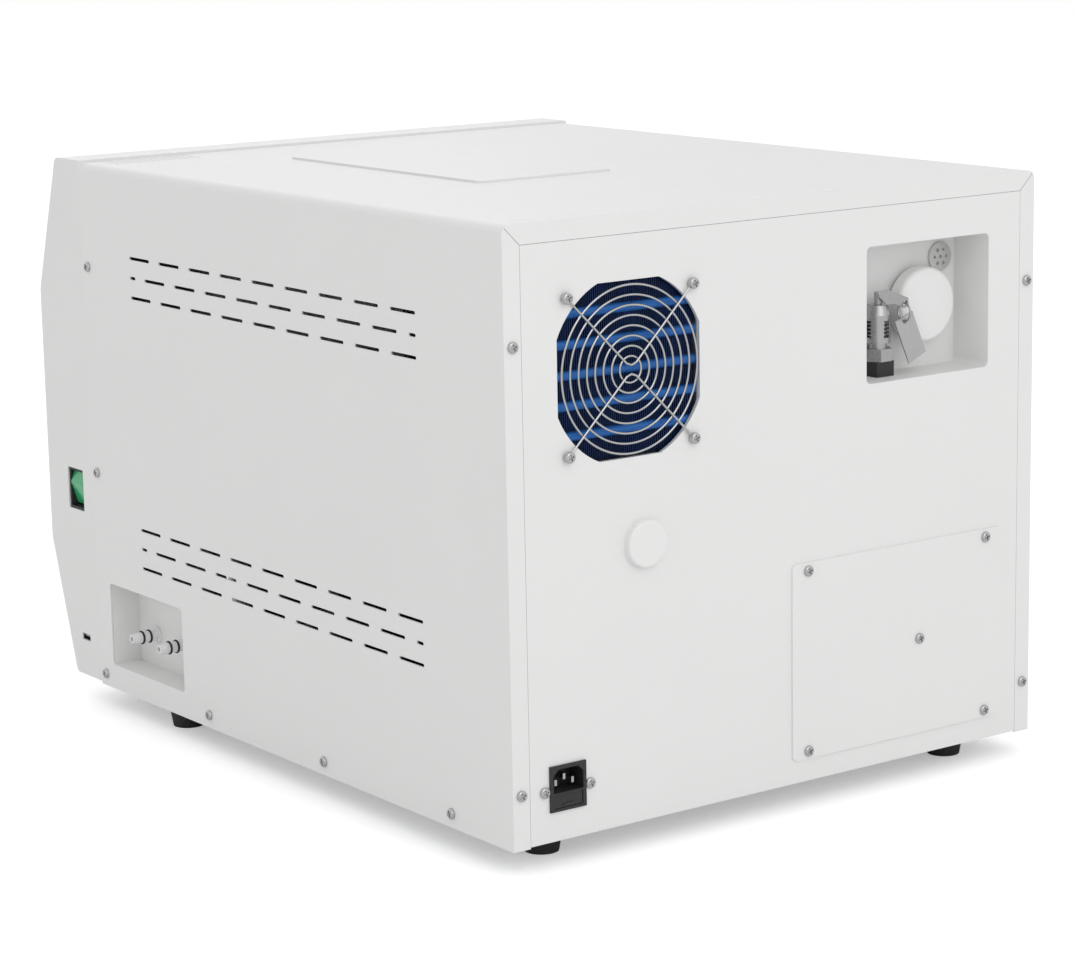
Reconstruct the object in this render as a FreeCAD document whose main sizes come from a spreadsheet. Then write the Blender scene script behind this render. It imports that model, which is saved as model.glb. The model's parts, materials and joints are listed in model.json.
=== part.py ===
import FreeCAD, Part
import math
import os

import Sketcher

# Benchtop autoclave, built the way it comes apart on a bench.
# Every piece is drawn in the casing frame: x = 0 on the middle of the casing, y = 0 on the outer
# face of the rear panel, z = 0 on the lower edge of the casing. The machine faces -Y. Placements
# then carry each piece to the part's own frame, whose origin is on the floor under the middle.

doc = FreeCAD.newDocument("benchtop_autoclave")
sheet = doc.addObject("Spreadsheet::Sheet", "dims")


class Size:
    """A length that keeps both its value and the spreadsheet expression it is made from."""

    def __init__(self, value, text):
        self.value = float(value)
        self.text = text

    @staticmethod
    def of(thing):
        if isinstance(thing, Size):
            return thing
        return Size(thing, "(%r)" % float(thing))

    def __add__(self, other):
        other = Size.of(other)
        return Size(self.value + other.value, "(%s + %s)" % (self.text, other.text))

    def __radd__(self, other):
        return Size.of(other) + self

    def __sub__(self, other):
        other = Size.of(other)
        return Size(self.value - other.value, "(%s - %s)" % (self.text, other.text))

    def __rsub__(self, other):
        return Size.of(other) - self

    def __mul__(self, other):
        other = Size.of(other)
        return Size(self.value * other.value, "(%s * %s)" % (self.text, other.text))

    def __rmul__(self, other):
        return Size.of(other) * self

    def __truediv__(self, other):
        other = Size.of(other)
        return Size(self.value / other.value, "(%s / %s)" % (self.text, other.text))

    def __neg__(self):
        return Size(-self.value, "(0 - %s)" % self.text)


class Dimensions:
    """Each name below becomes a spreadsheet cell with that alias, and a Size of that name."""

    def __init__(self):
        self.row = 0

    def add(self, **cells):
        for alias, number in cells.items():
            self.row += 1
            sheet.set("A%d" % self.row, alias.replace("_", " "))
            sheet.set("B%d" % self.row, repr(float(number)))
            sheet.setAlias("B%d" % self.row, alias)
            setattr(self, alias, Size(number, "dims.%s" % alias))


d = Dimensions()
# casing
d.add(case_width=471.5, case_height=417.5, case_depth=567.0, wall=1.2, bend=6.0, foot_height=17.0,
      rear_to_origin=333.55, rear_flange=13.75, rear_flange_top=13.8, seam=0.3, lap=9.0,
      panel_bottom=1.2, base_sheet=1.5, base_lip=18.0, side_gap=0.2)
# vent slots in the sides
d.add(slot_length=30.6, slot_high=2.5, slot_pitch=45.0, slot_front=492.0, slot_row_gap=15.2,
      slot_short=8.4, upper_vents=319.8, lower_vents=107.8, slot_shift=22.2)
# front bezel
d.add(bezel_front=641.5, bezel_proud=1.8, bezel_wall=3.0, bezel_knee_high=312.0, bezel_knee_low=109.0,
      bezel_top_run=606.3, bezel_foot_run=608.4, bezel_bottom=2.0)
# power switch and data socket in the bezel's side
d.add(switch_front=609.0, switch_rear=584.0, switch_low=138.0, switch_high=171.5, switch_depth=7.3,
      rocker_width=13.0, rocker_tall=26.0, usb_low=31.0, usb_high=36.6,
      usb_front=597.0, usb_rear=584.0, usb_deep=14.0)
# water niche and its connectors
d.add(niche_front=547.0, niche_rear=433.8, niche_low=20.0, niche_high=86.0, niche_depth=25.4,
      stub_radius=4.4, stub_tip_radius=3.4, stub_length=24.0, stub_one_y=517.5, stub_two_y=474.5,
      stub_z=45.8, ring_radius=5.4, ring_section=0.9)
# rear panel openings
d.add(fan_x=134.2, fan_z=313.5, fan_pitch=105.0, fan_hole=64.7, fan_flat=59.4, fan_size=120.0,
      fan_thick=25.0, recess_left=74.8, recess_right=191.2, recess_low=279.0, recess_high=375.8,
      recess_depth=36.0, recess_corner=4.0, cap_x=124.1, cap_z=194.6, cap_radius=16.4, cap_proud=6.0,
      hatch_left=5.3, hatch_right=204.5, hatch_low=17.8, hatch_high=159.7, hatch_thick=1.5,
      hatch_edge=20.0)
# mains inlet
d.add(inlet_x=191.1, inlet_low=21.9, inlet_high=53.6, inlet_width=29.8, inlet_proud=1.6,
      inlet_deep=28.0, drawer_top=33.6, pin_pitch=14.0, pin_rise=3.4, pin_z=40.4, cavity_deep=16.0,
      inlet_ears=18.9, inlet_screw_z=36.5)


def bind(thing, **properties):
    """Ties properties of an object to sizes; a double underscore stands for a dot in the path."""
    for path, size in properties.items():
        size = Size.of(size)
        thing.setExpression(path.replace("__", "."), size.text)


def place(thing, x=0, y=0, z=0):
    """Puts a point of the casing frame in the part's frame."""
    bind(thing, Placement__Base__x=x, Placement__Base__y=d.rear_to_origin + y,
         Placement__Base__z=d.foot_height + z)


def block(name, low, high):
    box = doc.addObject("Part::Box", name)
    bind(box, Length=high[0] - Size.of(low[0]), Width=high[1] - Size.of(low[1]),
         Height=high[2] - Size.of(low[2]))
    place(box, *low)
    return box


TURN = {"x": FreeCAD.Rotation(FreeCAD.Vector(0, 1, 0), 90),
        "y": FreeCAD.Rotation(FreeCAD.Vector(1, 0, 0), -90),
        "z": FreeCAD.Rotation()}


def rod(name, axis, radius, start, length, tip=None):
    """A round bar, or a cone when its tip has another radius, from start along +axis."""
    if tip is None:
        bar = doc.addObject("Part::Cylinder", name)
        bind(bar, Radius=radius, Height=length)
    else:
        bar = doc.addObject("Part::Cone", name)
        bind(bar, Radius1=radius, Radius2=tip, Height=length)
    bar.Placement = FreeCAD.Placement(FreeCAD.Vector(), TURN[axis])
    place(bar, *start)
    return bar


def hoop(name, axis, radius, section, centre):
    torus = doc.addObject("Part::Torus", name)
    bind(torus, Radius1=radius, Radius2=section)
    torus.Placement = FreeCAD.Placement(FreeCAD.Vector(), TURN[axis])
    place(torus, *centre)
    return torus


def joined(name, *pieces):
    fuse = doc.addObject("Part::MultiFuse", name)
    fuse.Shapes = list(pieces)
    return fuse


def cut(name, base, *tools):
    tool = tools[0] if len(tools) == 1 else joined(name + "_tools", *tools)
    result = doc.addObject("Part::Cut", name)
    result.Base = base
    result.Tool = tool
    return result


def together(name, *pieces):
    """Separate solids that share one node."""
    compound = doc.addObject("Part::Compound", name)
    compound.Links = list(pieces)
    return compound


def new_body(name):
    body = doc.addObject("PartDesign::Body", name)
    place(body)
    return body


def new_sketch(body, plane, offset=0):
    """A sketch on one of the body's own planes, moved along that plane's normal."""
    sketch = body.newObject("Sketcher::SketchObject", "sketch")
    for feature in body.Origin.OriginFeatures:
        if feature.Role == plane:
            sketch.AttachmentSupport = [(feature, "")]
    sketch.MapMode = "FlatFace"
    bind(sketch, AttachmentOffset__Base__z=offset)
    return sketch


def fix_point(sketch, geometry, position, x, y):
    """Ties a point of a sketch to the sketch's origin."""
    for kind, size in (("DistanceX", Size.of(x)), ("DistanceY", Size.of(y))):
        index = sketch.addConstraint(Sketcher.Constraint(kind, -1, 1, geometry, position, size.value))
        sketch.setExpression("Constraints[%d]" % index, size.text)


def fix_radius(sketch, geometry, radius):
    radius = Size.of(radius)
    index = sketch.addConstraint(Sketcher.Constraint("Radius", geometry, radius.value))
    sketch.setExpression("Constraints[%d]" % index, radius.text)


def circle(sketch, x, y, radius):
    x, y, radius = Size.of(x), Size.of(y), Size.of(radius)
    geometry = sketch.addGeometry(Part.Circle(FreeCAD.Vector(x.value, y.value), FreeCAD.Vector(0, 0, 1),
                                              radius.value))
    fix_point(sketch, geometry, 3, x, y)
    fix_radius(sketch, geometry, radius)


def outline(sketch, *corners):
    """A closed outline through corners (x, y) or (x, y, radius), each tied to the sheet."""
    points = [FreeCAD.Vector(Size.of(corner[0]).value, Size.of(corner[1]).value) for corner in corners]
    radii = [Size.of(corner[2]) if len(corner) > 2 else None for corner in corners]
    count = len(points)
    trims = []
    for i, radius in enumerate(radii):
        back = (points[i - 1] - points[i]).normalize()
        ahead = (points[(i + 1) % count] - points[i]).normalize()
        half = back.getAngle(ahead) / 2
        reach = radius.value / math.tan(half) if radius else 0.0
        trims.append((back, ahead, half, reach))
    lines = []
    for i in range(count):
        start = points[i] + trims[i][1] * trims[i][3]
        following = (i + 1) % count
        end = points[following] + trims[following][0] * trims[following][3]
        lines.append(sketch.addGeometry(Part.LineSegment(start, end)))
    for i, corner in enumerate(corners):
        before, after = lines[i - 1], lines[i]
        if radii[i] is None:
            sketch.addConstraint(Sketcher.Constraint("Coincident", before, 2, after, 1))
            fix_point(sketch, after, 1, corner[0], corner[1])
            continue
        back, ahead, half, reach = trims[i]
        centre = points[i] + (back + ahead).normalize() * (radii[i].value / math.sin(half))
        start = points[i] + back * reach
        end = points[i] + ahead * reach
        middle = centre + (points[i] - centre).normalize() * radii[i].value
        arc = sketch.addGeometry(Part.ArcOfCircle(start, middle, end))
        from_start = (sketch.getPoint(arc, 1) - start).Length < (sketch.getPoint(arc, 1) - end).Length
        first, last = (1, 2) if from_start else (2, 1)
        virtual = sketch.addGeometry(Part.Point(points[i]), True)
        fix_point(sketch, virtual, 1, corner[0], corner[1])
        sketch.addConstraint(Sketcher.Constraint("PointOnObject", virtual, 1, before))
        sketch.addConstraint(Sketcher.Constraint("PointOnObject", virtual, 1, after))
        sketch.addConstraint(Sketcher.Constraint("Tangent", before, 2, arc, first))
        sketch.addConstraint(Sketcher.Constraint("Tangent", arc, last, after, 1))
        fix_radius(sketch, arc, radii[i])


def pad(body, sketch, length, midplane=False, reverse=False):
    feature = body.newObject("PartDesign::Pad", "pad")
    feature.Profile = sketch
    bind(feature, Length=length)
    feature.Midplane = midplane
    feature.Reversed = reverse
    return feature


def pocket(body, sketch, length, midplane=False, reverse=False):
    """A pocket that has to remove material: a cut that points away from the solid is an error."""
    doc.recompute()
    before = body.Shape.Volume
    feature = body.newObject("PartDesign::Pocket", "pocket")
    feature.Profile = sketch
    bind(feature, Length=length)
    feature.Midplane = midplane
    feature.Reversed = reverse
    doc.recompute()
    if body.Shape.Volume > before - 0.01:
        raise RuntimeError("a pocket in %s cuts nothing" % body.Label)
    return feature


def row_of(body, feature, sketch, length, count):
    """Repeats a cut along the sketch's horizontal axis."""
    pattern = body.newObject("PartDesign::LinearPattern", "row")
    pattern.Originals = [feature]
    pattern.Direction = (sketch, ["H_Axis"])
    bind(pattern, Length=length)
    pattern.Occurrences = count
    body.Tip = pattern


def frame_of(low_x, low_y, high_x, high_y, radius=None):
    """The four corners of a rectangle for outline()."""
    corners = [(low_x, low_y), (high_x, low_y), (high_x, high_y), (low_x, high_y)]
    if radius is None:
        return corners
    return [corner + (radius,) for corner in corners]


pieces = []


def keep(label, thing):
    """Names a finished piece, which then gets its own file."""
    thing.Label = label
    pieces.append(thing)
    return thing


side = d.case_width / 2
inner_side = side - d.wall
top = d.case_height
inner_top = top - d.wall

# tank opening in the top and the grille beside the bezel
d.add(lid_left=20.4, lid_right=101.0, lid_front=475.4, lid_rear=217.0, lid_corner=8.0, lid_thick=1.6,
      lid_rim=8.0, lid_skirt=5.0, lid_gap=0.6, grille_left=146.0, grille_front=560.0, grille_pitch=6.0,
      grille_hole=1.5, screw_radius=2.0, head_radius=3.9, head_high=2.2, screw_long=8.0,
      door_left=-200.0, door_right=84.0, door_low=22.0, door_high=298.0, door_gap=2.0)

SIDE_SCREWS = [(-559.0, 337.0), (-559.0, 173.5), (-559.0, 10.0), (-396.6, 10.0), (-234.2, 10.0),
               (-72.3, 10.0)]
FLANGE_SCREWS = [338.0, 38.0]
HATCH_SCREWS = [(-19.5, 153.8), (-19.5, 23.5), (-189.0, 153.8), (-189.0, 23.5), (-124.5, 88.3)]
GRILLE_COLUMNS = 13
GRILLE_ROWS = 5


def outer_cover():
    body = new_body("outer_cover")
    shell = new_sketch(body, "XZ_Plane")
    outline(shell, (-side, 0), (-side, top, d.bend), (side, top, d.bend), (side, 0))
    pad(body, shell, d.case_depth)
    hollow = new_sketch(body, "XZ_Plane", d.wall)
    bend_in = d.bend - d.wall
    outline(hollow, (-inner_side, -d.wall), (-inner_side, inner_top, bend_in),
            (inner_side, inner_top, bend_in), (inner_side, -d.wall))
    pocket(body, hollow, d.case_depth, reverse=True)
    back = new_sketch(body, "XZ_Plane")
    opening = side - d.rear_flange
    outline(back, (-opening, -d.wall), (-opening, top - d.rear_flange_top),
            (opening, top - d.rear_flange_top), (opening, -d.wall))
    pocket(body, back, d.wall, reverse=True)
    mouth = new_sketch(body, "XY_Plane", top)
    outline(mouth, *frame_of(-d.lid_left + d.lid_rim, -d.lid_front + d.lid_rim, d.lid_right - d.lid_rim,
                             -d.lid_rear - d.lid_rim, d.lid_corner / 3))
    pocket(body, mouth, d.wall * 2)
    niche = new_sketch(body, "YZ_Plane", side)
    outline(niche, *frame_of(-d.niche_front, d.niche_low, -d.niche_rear, d.niche_high, d.wall * 2))
    pocket(body, niche, d.wall * 3)
    half = d.slot_high / 2
    full = new_sketch(body, "YZ_Plane")
    for low in (d.lower_vents, d.upper_vents):
        for z in (low, low + d.slot_row_gap * 2):
            outline(full, *frame_of(-d.slot_front, z - half, -d.slot_front + d.slot_length, z + half,
                                    half * 0.98))
    row_of(body, pocket(body, full, d.case_width * 2, midplane=True), full, d.slot_pitch * 8, 9)
    between = new_sketch(body, "YZ_Plane")
    for low in (d.lower_vents, d.upper_vents):
        z = low + d.slot_row_gap
        start = -d.slot_front + d.slot_shift
        outline(between, *frame_of(start, z - half, start + d.slot_length, z + half, half * 0.98))
    row_of(body, pocket(body, between, d.case_width * 2, midplane=True), between, d.slot_pitch * 7, 8)
    ends = new_sketch(body, "YZ_Plane")
    for low in (d.lower_vents, d.upper_vents):
        z = low + d.slot_row_gap
        for start in (-d.slot_front, -d.slot_front + d.slot_shift + d.slot_pitch * 8):
            outline(ends, *frame_of(start, z - half, start + d.slot_short, z + half, half * 0.98))
    pocket(body, ends, d.case_width * 2, midplane=True)
    first_hole = new_sketch(body, "XY_Plane", top)
    circle(first_hole, d.grille_left, -d.grille_front, d.grille_hole)
    hole = pocket(body, first_hole, d.wall * 2)
    grid = body.newObject("PartDesign::MultiTransform", "grid")
    grid.Originals = [hole]
    passes = []
    for axis, count in (("H_Axis", GRILLE_COLUMNS), ("V_Axis", GRILLE_ROWS)):
        step = body.newObject("PartDesign::LinearPattern", "step")
        step.Direction = (first_hole, [axis])
        bind(step, Length=d.grille_pitch * (count - 1))
        step.Occurrences = count
        passes.append(step)
    grid.Transformations = passes
    body.Tip = grid
    bores = new_sketch(body, "YZ_Plane")
    for y, z in SIDE_SCREWS:
        circle(bores, y, z, d.screw_radius)
    pocket(body, bores, d.case_width * 2, midplane=True)
    flange_bores = new_sketch(body, "XZ_Plane")
    for z in FLANGE_SCREWS:
        for x in (-(side - d.rear_flange / 2), side - d.rear_flange / 2):
            circle(flange_bores, x, z, d.screw_radius)
    pocket(body, flange_bores, d.wall * 4, midplane=True)
    return body


def rear_panel():
    """A plate flush with the cover's rear flange, with a lap that passes behind the flange."""
    body = new_body("rear_panel_plate")
    edge = side - d.rear_flange - d.seam
    high = top - d.rear_flange_top - d.seam
    face = new_sketch(body, "XZ_Plane")
    outline(face, (-edge, d.panel_bottom), (edge, d.panel_bottom), (edge, high), (-edge, high))
    pad(body, face, d.wall + d.seam)
    lap = new_sketch(body, "XZ_Plane", d.wall + d.seam)
    outline(lap, (-edge - d.lap, d.panel_bottom), (edge + d.lap, d.panel_bottom),
            (edge + d.lap, high + d.lap), (-edge - d.lap, high + d.lap))
    pad(body, lap, d.wall)
    cuts = new_sketch(body, "XZ_Plane")
    outline(cuts, *frame_of(-d.recess_right, d.recess_low, -d.recess_left, d.recess_high, d.recess_corner))
    outline(cuts, *frame_of(d.inlet_x - d.inlet_width / 2 + 1, d.inlet_low + 1,
                            d.inlet_x + d.inlet_width / 2 - 1, d.inlet_high - 1))
    circle(cuts, d.cap_x, d.cap_z, d.cap_radius - 2)
    outline(cuts, *frame_of(-d.hatch_right + d.hatch_edge, d.hatch_low + d.hatch_edge,
                            -d.hatch_left - d.hatch_edge, d.hatch_high - d.hatch_edge, d.recess_corner))
    pocket(body, cuts, d.wall * 8, midplane=True)
    bores = new_sketch(body, "XZ_Plane")
    for x in (-1, 1):
        for z in (-1, 1):
            circle(bores, d.fan_x + d.fan_pitch * x / 2, d.fan_z + d.fan_pitch * z / 2, d.screw_radius)
    pocket(body, bores, d.wall * 8, midplane=True)
    edge_bores = new_sketch(body, "XZ_Plane")
    for z in FLANGE_SCREWS:
        for x in (-(side - d.rear_flange / 2), side - d.rear_flange / 2):
            circle(edge_bores, x, z, d.screw_radius)
    for x, z in HATCH_SCREWS[:4]:
        circle(edge_bores, x, z, d.screw_radius)
    for i in (-1, 1):
        circle(edge_bores, d.inlet_x + d.inlet_ears * i, d.inlet_screw_z, d.screw_radius)
    pocket(body, edge_bores, d.wall * 8, midplane=True)
    square = block("fan_square", (d.fan_x - d.fan_flat, -d.lap, d.fan_z - d.fan_flat),
                   (d.fan_x + d.fan_flat, d.lap, d.fan_z + d.fan_flat))
    opening = doc.addObject("Part::Common", "fan_opening")
    opening.Base = square
    opening.Tool = rod("fan_round", "y", d.fan_hole, (d.fan_x, -d.lap, d.fan_z), d.lap * 2)
    return cut("rear_panel_sheet", body, opening)


def rear_recess_box():
    """The pressed box behind the opening that holds the filter and the safety valve."""
    skin = d.wall + d.seam + d.wall
    body = new_body("rear_recess_box")
    outside = new_sketch(body, "XZ_Plane", skin)
    grow = d.wall
    outline(outside, *frame_of(-d.recess_right - grow, d.recess_low - grow, -d.recess_left + grow,
                               d.recess_high + grow, d.recess_corner + grow))
    pad(body, outside, d.recess_depth - skin + d.wall)
    inside = new_sketch(body, "XZ_Plane", skin)
    outline(inside, *frame_of(-d.recess_right, d.recess_low, -d.recess_left, d.recess_high,
                              d.recess_corner))
    pocket(body, inside, d.recess_depth - skin, reverse=True)
    lip = new_sketch(body, "XZ_Plane", skin)
    grow = d.lap
    outline(lip, *frame_of(-d.recess_right - grow, d.recess_low - grow, -d.recess_left + grow,
                           d.recess_high + grow, d.recess_corner + grow))
    outline(lip, *frame_of(-d.recess_right, d.recess_low, -d.recess_left, d.recess_high,
                           d.recess_corner))
    pad(body, lip, d.wall)
    return body


def access_panel():
    body = new_body("access_panel")
    sketch = new_sketch(body, "XZ_Plane")
    outline(sketch, *frame_of(-d.hatch_right, d.hatch_low, -d.hatch_left, d.hatch_high, d.recess_corner))
    for x, z in HATCH_SCREWS:
        circle(sketch, x, z, d.screw_radius)
    pad(body, sketch, d.hatch_thick, reverse=True)
    return body


def base_plate():
    """A folded tray: floor, two side lips inside the cover and a rear lip inside the panel."""
    wide = inner_side - d.side_gap
    rear = -(d.wall * 2 + d.seam) - d.side_gap
    front = -d.case_depth
    sheet_thick = d.base_sheet
    floor = block("base_floor", (-wide, front, 0), (wide, rear, sheet_thick))
    lips = [block("base_lip", (x0, front, 0), (x1, rear, d.base_lip))
            for x0, x1 in ((-wide, -wide + sheet_thick), (wide - sheet_thick, wide))]
    lips.append(block("base_rear_lip", (-wide, rear - sheet_thick, 0), (wide, rear, d.base_lip)))
    steel = joined("base_plate_folded", floor, *lips)
    bores = [rod("lip_bore", "x", d.screw_radius + 0.2, (-side - 1, y, z), d.case_width + 2)
             for y, z in SIDE_SCREWS if z < d.base_lip.value]
    return cut("base_plate_steel", steel, *bores)


def bezel_outline(sketch, inset=0):
    """The bezel's side view, pulled in by inset on its outer side."""
    rise = top + d.bezel_proud - inset
    outline(sketch, (-d.case_depth, d.bezel_bottom + inset), (-d.case_depth, rise),
            (-d.bezel_top_run + inset, rise, 6), (-d.bezel_front + inset, d.bezel_knee_high, 20),
            (-d.bezel_front + inset, d.bezel_knee_low, 20),
            (-d.bezel_foot_run + inset, d.bezel_bottom + inset, 4))


def front_bezel():
    body = new_body("front_bezel")
    solid = new_sketch(body, "YZ_Plane")
    bezel_outline(solid)
    pad(body, solid, d.case_width, midplane=True)
    core = new_sketch(body, "YZ_Plane")
    bezel_outline(core, d.bezel_wall)
    pocket(body, core, d.case_width - d.bezel_wall * 2, midplane=True)
    door = new_sketch(body, "XZ_Plane", d.case_depth)
    outline(door, *frame_of(d.door_left - 24, d.door_low - d.door_gap, d.door_right + d.door_gap,
                            d.door_high + d.door_gap))
    pocket(body, door, d.bezel_front, reverse=True)
    for depth, front, rear, low, high, corner in (
            (d.switch_depth, d.switch_front, d.switch_rear, d.switch_low, d.switch_high, 1.0),
            (d.bezel_wall * 2, d.usb_front, d.usb_rear, d.usb_low, d.usb_high, 0.5)):
        opening = new_sketch(body, "YZ_Plane", side)
        outline(opening, *frame_of(-front, low, -rear, high, corner))
        pocket(body, opening, depth)
    return body


keep("outer_cover", outer_cover())
keep("rear_panel", rear_panel())
keep("rear_recess_box", rear_recess_box())
keep("access_panel", access_panel())
keep("base_plate", base_plate())
keep("front_bezel", front_bezel())

d.add(wire=0.8, guard_rings=8, guard_inner=8.9, guard_pitch=6.8, guard_stand=1.4, fin_pitch=1.75,
      fin_thick=0.35, fin_deep=26.0, fin_high=118.0, fin_count=66, tube_radius=3.4, tube_pitch=20.4,
      tube_count=5, hub_radius=19.0, blade_reach=55.0, fan_clear=2.0, valve_x=107.0, valve_y=24.0,
      tag_y=12.0, eye_x=121.0, eye_z=331.0, filter_x=151.0, filter_z=325.8, filter_radius=27.0,
      filter_rear=20.0, filter_thick=14.0, vent_x=176.0, vent_z=357.0, vent_radius=10.6)
# chamber, door and the things that work them
d.add(chamber_x=-58.0, chamber_z=160.0, chamber_bore=123.5, chamber_wall=2.5, chamber_front=-572.0,
      chamber_rear=-132.0, flange_radius=134.0, flange_thick=10.0, cap_dish=18.0,
      plate_radius=131.0, plate_thick=12.0, gasket_gap=3.0, gasket_radius=126.5, gasket_wide=6.0,
      cover_front=645.5, cover_wall=3.0, hinge_x=-209.0, hinge_y=-640.0, pin_radius=4.0, knuckle=7.5,
      running=0.1, knob_x=50.0, knob_z=160.0, knob_shaft=6.0, bolt_radius=5.0, bolt_travel=12.0)


def made(name, shape):
    """A piece whose shape Part's own functions make from the sheet's values, in the casing frame."""
    feature = doc.addObject("Part::Feature", name)
    feature.Shape = shape
    place(feature)
    return feature


def at(x, y, z):
    return FreeCAD.Vector(Size.of(x).value, Size.of(y).value, Size.of(z).value)


def wire_through(points, radius):
    """Round wire along straight runs, with a ball at each bend."""
    runs = [Part.makeCylinder(radius, (end - start).Length, start, end - start)
            for start, end in zip(points, points[1:])]
    balls = [Part.makeSphere(radius, point) for point in points[1:-1]]
    return runs[0].fuse(runs[1:] + balls)


def screw(point, outward, reach=None):
    """A cross-recessed pan head on a plain shank; point is on the surface it clamps."""
    radius, high = d.head_radius.value, d.head_high.value
    head = Part.makeCylinder(radius, high, point, outward)
    rim = [edge for edge in head.Edges if edge.CenterOfMass.distanceToPoint(point) > high * 0.9
           and edge.Curve.TypeId == "Part::GeomCircle"]
    head = head.makeFillet(high * 0.6, rim)
    shank = Part.makeCylinder(d.screw_radius.value - 0.15, reach or d.screw_long.value, point, -outward)
    across = FreeCAD.Vector(0, 0, 1)
    result = head.fuse(shank)
    for turn in (0, 90):
        arm = Part.makeBox(radius * 1.2, radius * 0.28, high)
        arm.translate(FreeCAD.Vector(-radius * 0.6, -radius * 0.14, high * 0.45))
        arm.rotate(FreeCAD.Vector(), across, turn + 20)
        arm.Placement = FreeCAD.Placement(point, FreeCAD.Rotation(across, outward)).multiply(arm.Placement)
        result = result.cut(arm)
    return result


def cover_screws():
    """The screws of the cover and of the access panel, all alike."""
    shapes = []
    for y, z in SIDE_SCREWS:
        for hand in (-1, 1):
            shapes.append(screw(at(side * hand, y, z), FreeCAD.Vector(hand, 0, 0), 5.0))
    for z in FLANGE_SCREWS:
        for hand in (-1, 1):
            shapes.append(screw(at((side - d.rear_flange / 2) * hand, 0, z), FreeCAD.Vector(0, 1, 0), 5.0))
    for x, z in HATCH_SCREWS:
        shapes.append(screw(at(x, d.hatch_thick, z), FreeCAD.Vector(0, 1, 0), 4.0))
    return made("cover_screw_set", Part.makeCompound(shapes))


def fan_corners():
    half = d.fan_pitch / 2
    return [(d.fan_x + half * i, d.fan_z + half * j) for i in (-1, 1) for j in (-1, 1)]


def rear_screws():
    """The long screws of the fan guard and the two screws of the mains inlet."""
    stand = d.guard_stand + d.wire * 1.85
    shapes = [screw(at(x, stand, z), FreeCAD.Vector(0, 1, 0), 7.4) for x, z in fan_corners()]
    for i in (-1, 1):
        shapes.append(screw(at(d.inlet_x + d.inlet_ears * i, 0, d.inlet_screw_z),
                            FreeCAD.Vector(0, 1, 0), 5.0))
    return made("rear_screw_set", Part.makeCompound(shapes))


def fan_guard():
    """Eight rings on two bent wires, whose ends loop round the screws."""
    wire = d.wire.value
    axis = FreeCAD.Vector(0, 1, 0)
    centre = at(d.fan_x, d.wire, d.fan_z)
    rings = [Part.makeTorus(d.guard_inner.value + d.guard_pitch.value * i, wire, centre, axis)
             for i in range(int(d.guard_rings.value))]
    over = FreeCAD.Vector(0, d.guard_stand.value - wire * 0.2, 0)
    parts = []
    half = d.fan_pitch.value / 2
    eye = d.screw_radius.value + wire + 0.3
    for up in (1, -1):
        for hand in (-1, 1):
            corner = centre + over + FreeCAD.Vector(half * hand, 0, half * up)
            inward = FreeCAD.Vector(-hand, 0, -up).normalize()
            foot = centre + over + FreeCAD.Vector(4.0 * hand, 0, 4.5 * up)
            middle = centre + over + FreeCAD.Vector(0, 0, 3.0 * up)
            parts.append(Part.makeTorus(eye, wire, corner, axis))
            parts.append(wire_through([corner + inward * eye, foot, middle], wire))
    return made("fan_guard_wire", rings[0].fuse(rings[1:] + parts))


def fin_block():
    """Upright fins whose rear edges are notched for the tubes."""
    deep, high, thick = d.fin_deep.value, d.fin_high.value, d.fin_thick.value
    count = int(d.fin_count.value)
    rear = -(d.wall * 2 + d.seam + 3).value
    fin = Part.makeBox(thick, deep, high, at(0, rear - deep, d.fan_z - d.fin_high / 2))
    for z in tube_heights():
        notch = Part.makeCylinder(d.tube_radius.value + 0.1, thick * 3,
                                  FreeCAD.Vector(-thick, rear - 1.0, z), FreeCAD.Vector(1, 0, 0))
        fin = fin.cut(notch)
    first = d.fan_x.value - d.fin_pitch.value * (count - 1) / 2
    fins = []
    for i in range(count):
        copy = fin.copy()
        copy.translate(FreeCAD.Vector(first + d.fin_pitch.value * i - thick / 2, 0, 0))
        fins.append(copy)
    return made("condenser_fin_set", Part.makeCompound(fins))


def tube_heights():
    low = d.fan_z.value - d.tube_pitch.value * (d.tube_count.value - 1) / 2
    return [low + d.tube_pitch.value * i for i in range(int(d.tube_count.value))]


def condenser_tubes():
    """Straight tubes joined by U bends outside the end plates, as one serpentine."""
    radius = d.tube_radius.value
    y = -(d.wall * 2 + d.seam + 3).value - 1.0
    half = d.fin_pitch.value * d.fin_count.value / 2 + 4
    heights = tube_heights()
    runs = [Part.makeCylinder(radius, half * 2, FreeCAD.Vector(d.fan_x.value - half, y, z),
                              FreeCAD.Vector(1, 0, 0)) for z in heights]
    bends = []
    for i, (low, high) in enumerate(zip(heights, heights[1:])):
        hand = 1 if i % 2 else -1
        bend = Part.makeTorus((high - low) / 2, radius,
                              FreeCAD.Vector(d.fan_x.value + half * hand, y, (low + high) / 2),
                              FreeCAD.Vector(0, 1, 0))
        far = Part.makeBox(20, radius * 4, high, FreeCAD.Vector(0, y - radius * 2, low - radius * 2))
        far.translate(FreeCAD.Vector(d.fan_x.value + half * hand - (20 if hand < 0 else 0), 0, 0))
        bends.append(bend.common(far))
    return made("condenser_tube_run", runs[0].fuse(runs[1:] + bends))


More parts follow.
